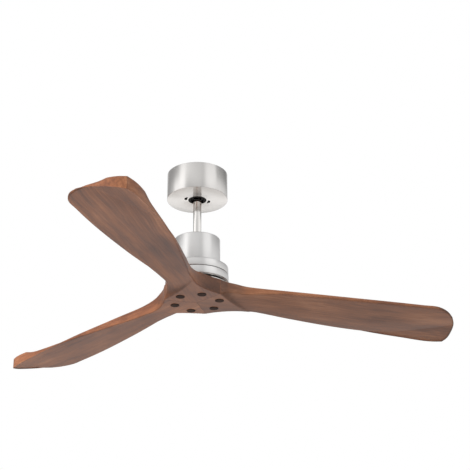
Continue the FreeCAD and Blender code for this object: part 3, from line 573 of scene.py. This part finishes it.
def grown(name, growth, base=None, **wanted):
    """The plain mesh object that a geometry tree makes from these inputs."""
    piece = shown(name, base or bpy.data.meshes.new(name))
    growing = piece.modifiers.new("growth", "NODES")
    growing.node_group = growth
    for socket in growth.interface.items_tree:
        word = socket.name.replace(" ", "_").lower()
        if word in wanted:
            growing[socket.identifier] = wanted[word]
    piece.update_tag()
    bpy.context.view_layer.update()
    plain_mesh(piece)
    return piece


def screws_round(name, node_name, body, slot, finish, count, circle, start, seat, head, shank,
                 upside_down=0.0):
    """A ring of screws whose heads' undersides are at the seat, sizes in mm and degrees."""
    piece = grown(name, screw_ring, count=count, circle=circle * MM, start=math.radians(start),
                  height=seat * MM, head_radius=head[0] * MM, head_height=head[1] * MM,
                  shank_radius=shank[0] * MM, shank_length=shank[1] * MM, upside_down=upside_down,
                  finish=finish)
    finish_mesh(piece.data)
    fitted(piece, body, slot, node_name)


blackened = bare_metal("blackened_steel", (0.030, 0.027, 0.025), 0.42, 0.0010, 0.2)
screws_round("canopy_fixing_screws", "canopy_screws", "ceiling", "dark_screws", blackened, 2,
             SLOT_CIRCLE, SLOT_START, canopy_bottom - 0.1, (3.4, 2.0), (1.9, 9.0))

# ------------------------------------------------
# Hanger ball, downrod and lead. The black nylon ball is pinned and screwed to a plain steel
# tube, polished and nickel plated, with the motor's lead inside it.
black_nylon = coated("black_nylon", (0.008, 0.008, 0.008), 0.50, 0.0009, 0.3, Specular_IOR_Level=0.10)
dress(black_nylon, "hanger_ball")
dress(coated("lead_sheath", (0.30, 0.30, 0.30), 0.55, 0.0010, 0.2), "lead_cable")
polished_nickel = turned_metal("polished_nickel", (0.76, 0.74, 0.72), 0.12, 0.05, 0.3)
rod_bottom, rod_top, rod_radius = span("downrod")
ROD_BORE = 8.0
spun("downrod_tube", [(ROD_BORE, rod_bottom), (rod_radius, rod_bottom), (rod_radius, rod_top),
                      (ROD_BORE, rod_top)], [0.4] * 4,
     "hanging_motor", "polished_nickel", "downrod", polished_nickel, steps=72)

# ------------------------------------------------
# Coupling, motor cover and top plate. A zinc casting joins the tube to the motor's shaft.
# The cover is a drawn cup and the top plate a pressed ring, both brushed nickel.
dress(bare_metal("zinc_casting", (0.52, 0.52, 0.51), 0.45, 0.0006, 0.5), "motor_yoke", "stator_carrier")
satin_nickel = turned_metal("satin_nickel", (0.84, 0.83, 0.82), 0.28, 0.15, 0.75)
cover_bottom, cover_top, cover_radius = span("motor_cover")
COVER_WALL = 1.5
COVER_HOLE = 11.0
EDGE_GAP = 0.6
spun("motor_cover_cup", [
    (cover_radius - COVER_WALL, cover_bottom + EDGE_GAP), (cover_radius, cover_bottom + EDGE_GAP),
    (cover_radius, cover_top), (COVER_HOLE, cover_top), (COVER_HOLE, cover_top - COVER_WALL),
    (cover_radius - COVER_WALL, cover_top - COVER_WALL)], [0.3, 0.4, 1.8, 0.4, 0.4, 1.0],
    "hanging_motor", "brushed_nickel", "motor_cover", satin_nickel)

plate_bottom, plate_top, plate_radius = span("motor_top_plate")
PLATE_SHEET = 2.5
PLATE_HOLE = 13.0
SKIRT = 2.0
spun("motor_top_ring", [
    (PLATE_HOLE, plate_top - PLATE_SHEET), (plate_radius - SKIRT, plate_top - PLATE_SHEET),
    (plate_radius - SKIRT, plate_bottom + EDGE_GAP), (plate_radius, plate_bottom + EDGE_GAP),
    (plate_radius, plate_top), (PLATE_HOLE, plate_top)], [0.3, 0.8, 0.3, 0.5, 2.0, 0.4],
    "hanging_motor", "brushed_nickel", "motor_top_plate", satin_nickel)
YOKE_BOLT_CIRCLE = 24.0
YOKE_FLANGE = 4.0
LUG_INSET = 6.0
screws_round("yoke_bolts", "plate_screws", "hanging_motor", "zinc_screws", zinc_plate, 3,
             YOKE_BOLT_CIRCLE, 0, plate_top + YOKE_FLANGE, (3.6, 2.4), (2.1, 6.5), upside_down=1.0)
screws_round("cover_fixing_screws", "cover_screws", "hanging_motor", "zinc_screws", zinc_plate, 3,
             cover_radius - LUG_INSET, 60, plate_top - PLATE_SHEET, (3.2, 1.6), (1.85, 8.5))

# ------------------------------------------------
# Stator. A ground hollow shaft carries a stack of varnished steel laminations with twelve
# teeth, and each tooth is wound with thirteen turns of enamelled copper in three layers.
def laminated():
    """Thin sheets seen on edge: dark varnish with a bright line at each sheet."""
    material, add, place = begun("varnished_laminations")
    sheets = add("ShaderNodeTexWave", {"bands_direction": "Z"}, Vector=place, Scale=310.0,
                 Distortion=0.3).outputs["Fac"]
    relief = add("ShaderNodeBump", Strength=0.4, Distance=0.0001, Height=sheets)
    return surfaced(material, add, Base_Color=ramp(add, sheets, [
        (0.0, 0.018), (0.6, 0.050), (1.0, 0.16)]), Metallic=0.6, Normal=relief.outputs[0],
        Roughness=ranged(add, sheets, 0.5, 0.34))


dress(laminated(), "stator_core", "rotor_cage")
ground_steel = bare_metal("ground_steel", (0.56, 0.56, 0.56), 0.22, 0.0008, 0.2, (1, 1, 12))
dress(ground_steel, "stator_shaft")

coils, add, asked = planted(
    "tooth_windings", Int="Teeth, Turns", Float="Inner radius, Wire, Width, Length, Height",
    Material="Finish")
layers = []
for layer in range(3):
    loop = add("GeometryNodeCurvePrimitiveQuadrilateral",
               Width=worked_out("MULTIPLY_ADD", asked["Wire"], -2.1 * layer, asked["Width"]),
               Height=worked_out("MULTIPLY_ADD", asked["Wire"], -5.0 * layer, asked["Length"]))
    bent = add("GeometryNodeFilletCurve", {"mode": "POLY"}, Curve=loop.outputs[0], Count=3,
               Radius=times(asked["Wire"], 1.6), Limit_Radius=True)
    layers.append(bent.outputs[0])
upright_loops = add("GeometryNodeTransform", Geometry=joined(*layers),
                    Rotation=(math.pi / 2, 0, math.pi / 2))
turns = add("GeometryNodeMeshLine", Count=asked["Turns"], Offset=vector(X=asked["Wire"]),
            Start_Location=vector(X=asked["Inner radius"]))
wound = add("GeometryNodeInstanceOnPoints", Points=turns.outputs[0],
            Instance=upright_loops.outputs[0])
strands = add("GeometryNodeRealizeInstances", Geometry=wound.outputs[0])
wire = add("GeometryNodeCurvePrimitiveCircle", Resolution=6, Radius=times(asked["Wire"], 0.48))
copper = add("GeometryNodeCurveToMesh", Curve=strands.outputs[0], Profile_Curve=wire.outputs[0])
tooth_places = add("GeometryNodeMeshLine", Count=asked["Teeth"], Offset=(0, 0, 0),
                   Start_Location=vector(Z=asked["Height"]))
tooth_turn = times(add("GeometryNodeInputIndex").outputs[0],
                   worked_out("DIVIDE", 2 * math.pi, asked["Teeth"]))
ring = add("GeometryNodeInstanceOnPoints", Points=tooth_places.outputs[0],
           Instance=copper.outputs[0], Rotation=vector(Z=tooth_turn))
ended(ring.outputs[0])

coils_bottom, coils_top, _ = span("stator_windings")
windings = grown("copper_windings", coils, teeth=12, turns=13, inner_radius=33.1 * MM, wire=1.0 * MM,
                 width=8.4 * MM, length=23.4 * MM, height=(coils_bottom + coils_top) / 2 * MM,
                 finish=bare_metal("enamelled_copper", (0.46, 0.17, 0.07), 0.30, 0.0010, 0.1))
finish_mesh(windings.data, 60)
fitted(windings, "hanging_motor", "copper_wire", "stator_windings")

# ------------------------------------------------
# Rotor. A die-cast drum and a brushed shell close round the cage and run on two deep-groove
# ball bearings. The six long screws draw them together from below.
dress(bare_metal("cast_aluminium", (0.60, 0.60, 0.59), 0.42, 0.0007, 0.45), "rotor_drum")
shell_bottom, shell_top, shell_radius = span("rotor_shell")
SHELL_BORE, SHELL_FLOOR = 70.7, 3.0
BOSS_RADIUS, BOSS_HEIGHT = 20.5, 12.0
BEARING_RADIUS = 17.5
SHAFT_WAY = 10.5
STEP_RADIUS, RIM_STEP = 72.0, 1.3
spun("rotor_ring", [
    (SHAFT_WAY, shell_bottom), (STEP_RADIUS, shell_bottom), (STEP_RADIUS, shell_bottom + RIM_STEP),
    (shell_radius, shell_bottom + RIM_STEP), (shell_radius, shell_top - EDGE_GAP),
    (SHELL_BORE, shell_top - EDGE_GAP), (SHELL_BORE, shell_bottom + SHELL_FLOOR),
    (BOSS_RADIUS, shell_bottom + SHELL_FLOOR), (BOSS_RADIUS, shell_bottom + BOSS_HEIGHT + 1),
    (BEARING_RADIUS, shell_bottom + BOSS_HEIGHT + 1), (BEARING_RADIUS, shell_bottom + SHELL_FLOOR - 1),
    (SHAFT_WAY, shell_bottom + SHELL_FLOOR - 1)],
    [0.3, 0.3, 0, 0.6, 0.5, 0.3, 0.6, 0.6, 0.3, 0.3, 0, 0],
    "rotor", "brushed_nickel", "rotor_shell", satin_nickel)
screws_round("shell_fixing_screws", "shell_screws", "rotor", "zinc_screws", zinc_plate, 6, 68.0, 0,
             shell_bottom, (2.8, 1.6), (1.45, 12.0))

races, add, asked = planted("balls_between_races", Geometry="Geometry", Int="Balls",
                            Float="Ball radius, Pitch, Height", Material="Finish")
ball = add("GeometryNodeMeshUVSphere", Segments=24, Rings=12, Radius=asked["Ball radius"])
track = add("GeometryNodeMeshCircle", Vertices=asked["Balls"], Radius=asked["Pitch"])
set_round = add("GeometryNodeInstanceOnPoints", Instance=ball.outputs["Mesh"],
                Points=moved_up(track.outputs[0], asked["Height"]))
ended(joined(set_round.outputs[0], asked["Geometry"]))

BALLS, BALL_RADIUS = 9, 2.9
BEARING_BORE = 7.55
BALL_PITCH = (BEARING_BORE + BEARING_RADIUS) / 2
RACE_HALF_GAP = 1.7
GROOVE_CLEARANCE = 0.05


def race(wall, land, bottom, width):
    """The half section of one ring, with the groove that the balls run in."""
    way = math.copysign(1, BALL_PITCH - wall)
    groove = BALL_RADIUS + GROOVE_CLEARANCE
    swing = math.acos(RACE_HALF_GAP / groove)
    middle = bottom + width / 2
    section = [(wall, bottom), (land, bottom)]
    for step in range(9):
        angle = -swing + 2 * swing * step / 8
        section.append((BALL_PITCH - way * groove * math.cos(angle),
                        middle + groove * math.sin(angle)))
    return section + [(land, bottom + width), (wall, bottom + width)]


for place_word in ("upper", "lower"):
    bottom, top, _ = span(f"{place_word}_bearing")
    width = top - bottom
    rings = lathed(f"{place_word}_races", [
        race(BEARING_BORE, BALL_PITCH - RACE_HALF_GAP, bottom, width),
        race(BEARING_RADIUS, BALL_PITCH + RACE_HALF_GAP, bottom, width)], 64)
    bearing = grown(f"{place_word}_ball_bearing", races, base=rings, balls=BALLS,
                    ball_radius=BALL_RADIUS * MM, pitch=BALL_PITCH * MM,
                    height=(bottom + top) / 2 * MM, finish=ground_steel)
    finish_mesh(bearing.data)
    fitted(bearing, "rotor", "shaft_steel", f"{place_word}_bearing")

# ------------------------------------------------
# Blade plate and carrier screws. The painted carrier is bolted under the rotor, and a bright
# plate between it and the wood shows as a thin edge where two blades meet.
dress(polished_nickel, "blade_plate")
CARRIER_BOLT_CIRCLE = 40.0
carrier_head_seat = shell_bottom - 5
screws_round("carrier_bolts", "carrier_screws", "rotor", "zinc_screws", zinc_plate, 6,
             CARRIER_BOLT_CIRCLE, 30, carrier_head_seat, (3.6, 3.0), (2.05, 8.0))

# ------------------------------------------------
# Blades. Each is carved from solid walnut: a thick root whose flat underside joins its
# two neighbours in a Y, then a pitched panel that thins and widens to a square tip.
LEADING = [(39.5, -68.4), (60, -55), (80, -48.5), (106, -42), (140, -45.5), (190, -53.7),
           (340, -71.5), (540, -85.5), (582, -86), (612, -71), (633, -50)]
TIP = [(633, -50), (648, -22), (656, 12), (657, 46), (652.5, 60)]
TRAILING = [(39.5, 68.4), (60, 54), (110, 34.2), (150, 33.0), (240, 45.7), (400, 66.5), (540, 70.5),
            (636, 65), (652.5, 60)]
HUB_BOTTOM = -337.0
HUB_THICKNESS = 37.5
BLADE_ANGLE = 13.13

# The underside's crease, and how fast and how high the scoop leaves it.
CREASE_START = (39.5, -69.5)
CREASE_END = (138.0, 33.0)
CREASE_BOW = 6.0
SCOOP_SHARE = 0.45
SCOOP_LIFT, LIFT_RADIUS, LIFT_REACH = 3.8, 4.5, 50.0
SCOOP_RADIUS = 10.0
SCOOP_LENGTH = 105.0
WAIST = 100.0
TOP_FLAT, TOP_BLEND = 60, 40

EDGE_ROUNDING = 2.4
SEAM_ROUNDING = 0.6
SEAM_GAP = 0.15
SEAM_ROWS = 25

# Heights of the panel's faces above the hub's underside, at stations along each edge.
LEADING_UNDER = [(0, 22), (190, 18.6), (300, 12.9), (440, 7.0), (585, 3.3), (660, 1.5)]
TRAILING_UNDER = [(0, -3), (190, -7.4), (300, -11.2), (450, -17.1), (540, -21.8), (660, -27.6)]
LEADING_TOP = [(60, 37.5), (88, 37.3), (140, 32.9), (190, 29.1), (300, 22.6), (440, 15.9),
               (585, 11.0), (660, 9.0)]
TRAILING_TOP = [(60, 37.5), (80, 37.0), (140, 27.6), (190, 21.4), (300, 8.3), (450, -7.6),
                (540, -14.5), (660, -22.6)]


def flowing(points):
    """A smooth curve through the points, as a function of the first coordinate."""
    xs = np.array([p[0] for p in points], float)
    ys = np.array([p[1] for p in points], float)
    steps = np.diff(xs)
    rises = np.diff(ys) / steps
    slopes = np.empty(len(xs))
    slopes[1:-1] = (rises[:-1] * steps[1:] + rises[1:] * steps[:-1]) / (steps[1:] + steps[:-1])
    slopes[0], slopes[-1] = rises[0], rises[-1]

    def height(x):
        x = np.clip(x, xs[0], xs[-1])
        k = np.clip(np.searchsorted(xs, x) - 1, 0, len(steps) - 1)
        t = (x - xs[k]) / steps[k]
        return ((1 + 2 * t) * (1 - t) ** 2 * ys[k] + t * (1 - t) ** 2 * steps[k] * slopes[k]
                + t * t * (3 - 2 * t) * ys[k + 1] + t * t * (t - 1) * steps[k] * slopes[k + 1])
    return height


def curve_through(points, count):
    """Evenly spaced points on a smooth curve through the given plan points."""
    spaced = np.array(points, float)
    run = np.concatenate([[0], np.cumsum(np.hypot(*np.diff(spaced, axis=0).T))])
    dense = np.linspace(0, run[-1], 2000)
    xs = flowing(list(zip(run, spaced[:, 0])))(dense)
    ys = flowing(list(zip(run, spaced[:, 1])))(dense)
    length = np.concatenate([[0], np.cumsum(np.hypot(np.diff(xs), np.diff(ys)))])
    even = np.linspace(0, length[-1], count)
    return np.interp(even, length, xs), np.interp(even, length, ys)


leading_under, trailing_under = flowing(LEADING_UNDER), flowing(TRAILING_UNDER)
leading_top, trailing_top = flowing(LEADING_TOP), flowing(TRAILING_TOP)


def edge_function(points):
    """How far an edge lies to the side, as a function of the distance along the blade."""
    xs, ys = curve_through(points, 600)
    order = np.argsort(xs)
    return lambda x: np.interp(x, xs[order], ys[order])


lead_y = edge_function([p for p in LEADING if p[0] <= 582] + [(660, -84)])
trail_y = edge_function([p for p in TRAILING if p[0] <= 640] + [(660, 64)])


def across(x, y, lead_height, trail_height):
    """Height on the straight line between the two edges, at a point."""
    share = (y - lead_y(x)) / (trail_y(x) - lead_y(x))
    return lead_height(x) + share * (trail_height(x) - lead_height(x))


def underside(x, y):
    """Flat under the hub, then scooped up steeply out of a curved crease into the panel."""
    chord = np.subtract(CREASE_END, CREASE_START)
    half_chord = np.hypot(*chord) / 2
    radius = (half_chord ** 2 + CREASE_BOW ** 2) / (2 * CREASE_BOW)
    outwards = np.array((chord[1], -chord[0])) / (2 * half_chord)
    middle = (np.array(CREASE_START) + CREASE_END) / 2 + outwards * (radius - CREASE_BOW)
    outward = np.maximum(radius - np.hypot(x - middle[0], y - middle[1]), 0)
    scoop = 1 - np.exp(-outward / SCOOP_RADIUS)
    rise = np.clip(outward / SCOOP_LENGTH, 0, 1)
    # The panel's lines are taken no nearer the centre than the blade's waist.
    waist = np.maximum(x, WAIST)
    share = SCOOP_SHARE * scoop + (1 - SCOOP_SHARE * scoop) * rise
    lift = SCOOP_LIFT * (1 - np.exp(-outward / LIFT_RADIUS)) * np.exp(-outward / LIFT_REACH)
    return share * across(waist, y, leading_under, trailing_under) + lift


def topside(x, y):
    """Flat on the hub, then falling into the panel's top face."""
    height = across(np.maximum(x, TOP_FLAT), y, leading_top, trailing_top)
    near = np.clip((x - TOP_FLAT) / TOP_BLEND, 0, 1)
    fall = np.minimum(height, HUB_THICKNESS) - HUB_THICKNESS
    return HUB_THICKNESS + fall * near * near * (3 - 2 * near)


def blade_plan(inset_edge, inset_seam, rows, columns):
    """Plan positions of a grid over the blade, pulled in from its outline."""
    seam = math.radians(60)
    centre_gap = (SEAM_GAP / 2 + inset_seam) / math.sin(seam)
    lead_x, lead_line = curve_through(LEADING, 3000)
    trail_x, trail_line = curve_through(TRAILING, 3000)
    tip_x, tip_line = curve_through(TIP, columns)

    def pulled(xs, ys, amount, side):
        dx, dy = np.gradient(xs), np.gradient(ys)
        length = np.hypot(dx, dy)
        return xs - side * dy / length * amount, ys + side * dx / length * amount
    lead_x, lead_line = pulled(lead_x, lead_line, inset_edge, 1)
    trail_x, trail_line = pulled(trail_x, trail_line, inset_edge, -1)
    tip_x, tip_line = pulled(tip_x, tip_line, inset_edge, 1)

    def side(xs, ys, way):
        # It starts where the edge meets the seam's line, pulled in by the seam's rounding.
        gap = SEAM_GAP / 2 + inset_seam
        depth = xs * math.sin(seam) + way * ys * math.cos(seam) - gap
        begin = int(np.argmax(depth > 0))
        xs, ys = xs[begin:], ys[begin:]
        seam_x = np.linspace(centre_gap, xs[0], SEAM_ROWS + 1)[:-1]
        seam_y = -way * (seam_x - centre_gap) * math.tan(seam)
        length = np.concatenate([[0], np.cumsum(np.hypot(np.diff(xs), np.diff(ys)))])
        share = np.linspace(0, 1, rows - SEAM_ROWS)
        # The rows lie closer in the curved root than along the panel.
        share = 0.45 * share ** 1.6 + 0.55 * share
        even = share * length[-1]
        return (np.concatenate([seam_x, np.interp(even, length, xs)]),
                np.concatenate([seam_y, np.interp(even, length, ys)]))
    lead_x, lead_line = side(lead_x, lead_line, 1)
    trail_x, trail_line = side(trail_x, trail_line, -1)
    v = np.linspace(0, 1, columns)
    tip_x[0], tip_line[0] = lead_x[-1], lead_line[-1]
    tip_x[-1], tip_line[-1] = trail_x[-1], trail_line[-1]
    bow_x = tip_x - (tip_x[0] + (tip_x[-1] - tip_x[0]) * v)
    bow_y = tip_line - (tip_line[0] + (tip_line[-1] - tip_line[0]) * v)
    # The tip's curve fades in over the outer 45% of the rows.
    grow = np.clip((np.linspace(0, 1, rows) - 0.55) / 0.45, 0, 1)[:, None] ** 2
    x = lead_x[:, None] + (trail_x - lead_x)[:, None] * v + grow * bow_x
    y = lead_line[:, None] + (trail_line - lead_line)[:, None] * v + grow * bow_y
    return x, y


def rim(grid):
    """The grid's border as one loop: out along one edge, across the tip, and back."""
    return np.concatenate([grid[:, 0], grid[-1, 1:], grid[-2::-1, -1], grid[0, -2:0:-1]])


ROWS, COLUMNS, ROUND_LOOPS = 190, 40, 4
BLADE_SCREW_CIRCLE = 54.7
BLADE_SCREW_SPREAD = 28.6
SINK_RADIUS, SINK_DEPTH, SINK_CHAMFER = 9.8, 20.0, 0.7
BORE_RADIUS = 3.2
PLANK_STEP = (1.7, 0.31, 0.17)


def carved_blade(name, node, angle, index):
    """One blade: two carved faces, a wall round them, and rounded edges between."""
    verts, faces = [], []

    def add_points(x, y, z):
        start = len(verts)
        verts.extend(zip(np.ravel(x), np.ravel(y), np.ravel(z)))
        return start
    gx, gy = blade_plan(EDGE_ROUNDING, SEAM_ROUNDING, ROWS, COLUMNS)
    border = rim(np.arange(ROWS * COLUMNS).reshape(ROWS, COLUMNS))
    loops = []
    for face_height, way in ((underside, 1), (topside, -1)):
        start = add_points(gx, gy, face_height(gx, gy))
        for row in range(ROWS - 1):
            for column in range(COLUMNS - 1):
                a = start + row * COLUMNS + column
                faces.append((a, a + COLUMNS, a + COLUMNS + 1, a + 1))
        rings = [[start + offset for offset in border]]
        for loop in range(1, ROUND_LOOPS + 1):
            turn_angle = math.pi / 2 * loop / ROUND_LOOPS
            inset = 1 - math.sin(turn_angle)
            px, py = blade_plan(EDGE_ROUNDING * inset, SEAM_ROUNDING * inset, ROWS, COLUMNS)
            seam_part = rim(np.repeat((np.arange(ROWS) <= SEAM_ROWS)[:, None], COLUMNS, axis=1))
            radius = np.where(seam_part, SEAM_ROUNDING, EDGE_ROUNDING)
            rx, ry = rim(px), rim(py)
            height = face_height(rx, ry) + way * radius * (1 - math.cos(turn_angle))
            first = add_points(rx, ry, height)
            rings.append(list(range(first, first + len(rx))))
        loops.append(rings)
    walls = loops[0] + loops[1][::-1]
    for ring_a, ring_b in zip(walls, walls[1:]):
        for corner in range(len(ring_a)):
            after = (corner + 1) % len(ring_a)
            faces.append((ring_a[corner], ring_a[after], ring_b[after], ring_b[corner]))
    mesh = bpy.data.meshes.new(name)
    mesh.from_pydata([(x * MM, y * MM, z * MM) for x, y, z in verts], [], faces)
    finish_mesh(mesh, sharp_degrees=50)
    mesh.materials.append(planks[index])
    piece = shown(name, mesh)
    for sign in (-1, 1):
        centre = on_circle(BLADE_SCREW_CIRCLE, math.radians(sign * BLADE_SCREW_SPREAD))
        tool = lathed("bore_tool", [[
            (0, -1), (SINK_RADIUS + SINK_CHAMFER, -1), (SINK_RADIUS + SINK_CHAMFER, 0),
            (SINK_RADIUS, SINK_CHAMFER), (SINK_RADIUS, SINK_DEPTH), (BORE_RADIUS, SINK_DEPTH),
            (BORE_RADIUS, HUB_THICKNESS + 1), (0, HUB_THICKNESS + 1)]], 48, centre)
        # The bore's walls take the near-black walnut: painted shade inside the hole.
        cut_away(piece, tool, bored_walnut)
    mesh = piece.data
    finish_mesh(mesh, sharp_degrees=40)
    grain = mesh.attributes.new("grain", "FLOAT_VECTOR", "POINT")
    local = np.empty(len(mesh.vertices) * 3, np.float32)
    mesh.vertices.foreach_get("co", local)
    plank = np.array(PLANK_STEP) * index
    grain.data.foreach_set("vector", (local.reshape(-1, 3) + plank).ravel().astype(np.float32))
    slopes = np.empty(len(mesh.vertices) * 3, np.float32)
    mesh.vertices.foreach_get("normal", slopes)
    end_grain = mesh.attributes.new("end_grain", "FLOAT", "POINT")
    end_grain.data.foreach_set("value", np.abs(slopes[0::3]))
    turned = Matrix.Rotation(math.radians(angle), 4, "Z")
    mesh.transform(Matrix.Translation((0, 0, HUB_BOTTOM * MM)) @ turned)
    fitted(piece, "rotor", "walnut", node)


KNOT = (0.0685, -0.0445, 0.018)


def walnut_finish(name, tone_and_shade, gloss=0.55):
    """Oiled walnut: wavy figure, fine streaks and open pores, all drawn out along the blade."""
    material = bpy.data.materials.new(name)
    add = nodes_of(material)
    fibre = add("ShaderNodeAttribute", {"attribute_name": "grain"}).outputs["Vector"]

    def along_grain(lengthwise, crosswise, detail, place):
        """Noise stretched along the blade: features per metre along it and across it."""
        drawn_out = add("ShaderNodeMapping", Vector=place, Scale=(lengthwise, crosswise, crosswise))
        return add("ShaderNodeTexNoise", Vector=drawn_out.outputs[0], Scale=1.0, Detail=detail,
                   Roughness=0.55).outputs

    wander = along_grain(4.0, 11.0, 2.0, fibre)
    drift = add("ShaderNodeVectorMath", {"operation": "MULTIPLY_ADD"}, i0=wander["Color"],
                i1=(0.0, 0.030, 0.030), i2=fibre).outputs[0]
    figure = along_grain(2.6, 48.0, 3.0, drift)["Fac"]
    streaks = along_grain(6.0, 230.0, 3.0, drift)["Fac"]
    fine = along_grain(30.0, 900.0, 2.0, fibre)["Fac"]
    clouds = along_grain(5.0, 12.0, 2.0, fibre)["Fac"]
    layered = clouds
    for noise, weight in ((figure, 0.8), (streaks, 0.7), (fine, 0.35)):
        layered = add("ShaderNodeMath", {"operation": "MULTIPLY_ADD"}, i0=noise, i1=weight,
                      i2=layered).outputs[0]
    # The tone and shade factor darkens the whole ramp: a plank's own tone, and painted shade where a
    # blade or a bore is made darker.
    heart = ramp(add, ranged(add, layered, 0.0, 1.0, 1.02, 1.86), [
        (0.0, [tone_and_shade * part for part in (0.080, 0.026, 0.012)]),
        (0.35, [tone_and_shade * part for part in (0.160, 0.059, 0.027)]),
        (0.65, [tone_and_shade * part for part in (0.245, 0.095, 0.042)]),
        (1.0, [tone_and_shade * part for part in (0.370, 0.165, 0.082)])])
    # Wood cut across the fibres soaks up more oil and goes darker.
    ends = add("ShaderNodeAttribute", {"attribute_name": "end_grain"}).outputs["Fac"]
    heart = scaled(add, heart, ranged(add, ends, 1.0, 0.58, 0.10, 0.46))
    away = add("ShaderNodeVectorMath", {"operation": "DISTANCE"}, i0=fibre, i1=KNOT)
    near_knot = ranged(add, away.outputs["Value"], 1.0, 0.0, 0.0014, 0.0034)
    pores = ranged(add, along_grain(70.0, 2000.0, 1.0, fibre)["Fac"], 0.0, 1.0, 0.30, 0.42)
    relief = add("ShaderNodeBump", Strength=0.25, Distance=0.0001, Height=pores)
    return surfaced(material, add, Base_Color=mixed(add, near_knot, heart, (0.030, 0.010, 0.006, 1)),
                    Roughness=ranged(add, figure, 0.38, 0.50), Normal=relief.outputs[0],
                    Specular_IOR_Level=gloss)


# The first blade's walnut is darker than the other two: partly its own plank tone, partly painted shade
# for its underside, which faces the viewer.
planks = [walnut_finish("walnut_plank_1", 0.80), walnut_finish("walnut_plank_2", 0.97),
          walnut_finish("walnut_plank_3", 0.95)]
# The bores' walls are walnut darkened to near black and almost without gloss: painted shade deep in the
# holes.
bored_walnut = walnut_finish("bored_walnut", 0.14, 0.05)
for index in range(3):
    carved_blade(f"walnut_blade_{index + 1}", f"blade_{index + 1}", BLADE_ANGLE + 120 * index, index)

# ------------------------------------------------
# Blade screws and washers. Two blackened bolts draw each blade up to the carrier, their heads
# on washers at the bottom of the deep counterbores.
washer_bottom, washer_top, _ = span("blade_washers")
WASHER_RADIUS, WASHER_HOLE = 9.0, 2.6
washers = bmesh.new()
for index in range(6):
    side = 1 if index % 2 else -1
    angle = math.radians(BLADE_ANGLE + 120 * (index // 2) + side * BLADE_SCREW_SPREAD)
    centre = on_circle(BLADE_SCREW_CIRCLE, angle)
    washers.from_mesh(lathed("washer", [rounded([
        (WASHER_HOLE, washer_bottom), (WASHER_RADIUS, washer_bottom), (WASHER_RADIUS, washer_top),
        (WASHER_HOLE, washer_top)], [0.2, 0.4, 0.2, 0.1])], 40, centre))
washer_mesh = bpy.data.meshes.new("blade_bolt_washers")
washers.to_mesh(washer_mesh)
washers.free()
washer_mesh.materials.append(blackened)
finish_mesh(washer_mesh)
fitted(shown("blade_bolt_washers", washer_mesh), "rotor", "dark_screws", "blade_washers")
for side, word in ((-1, "leading"), (1, "trailing")):
    screws_round(f"{word}_blade_bolts", "blade_screws", "rotor", "dark_screws", blackened, 3,
                 BLADE_SCREW_CIRCLE, BLADE_ANGLE + side * BLADE_SCREW_SPREAD, washer_bottom,
                 (5.0, 4.0), (2.45, 23.5))
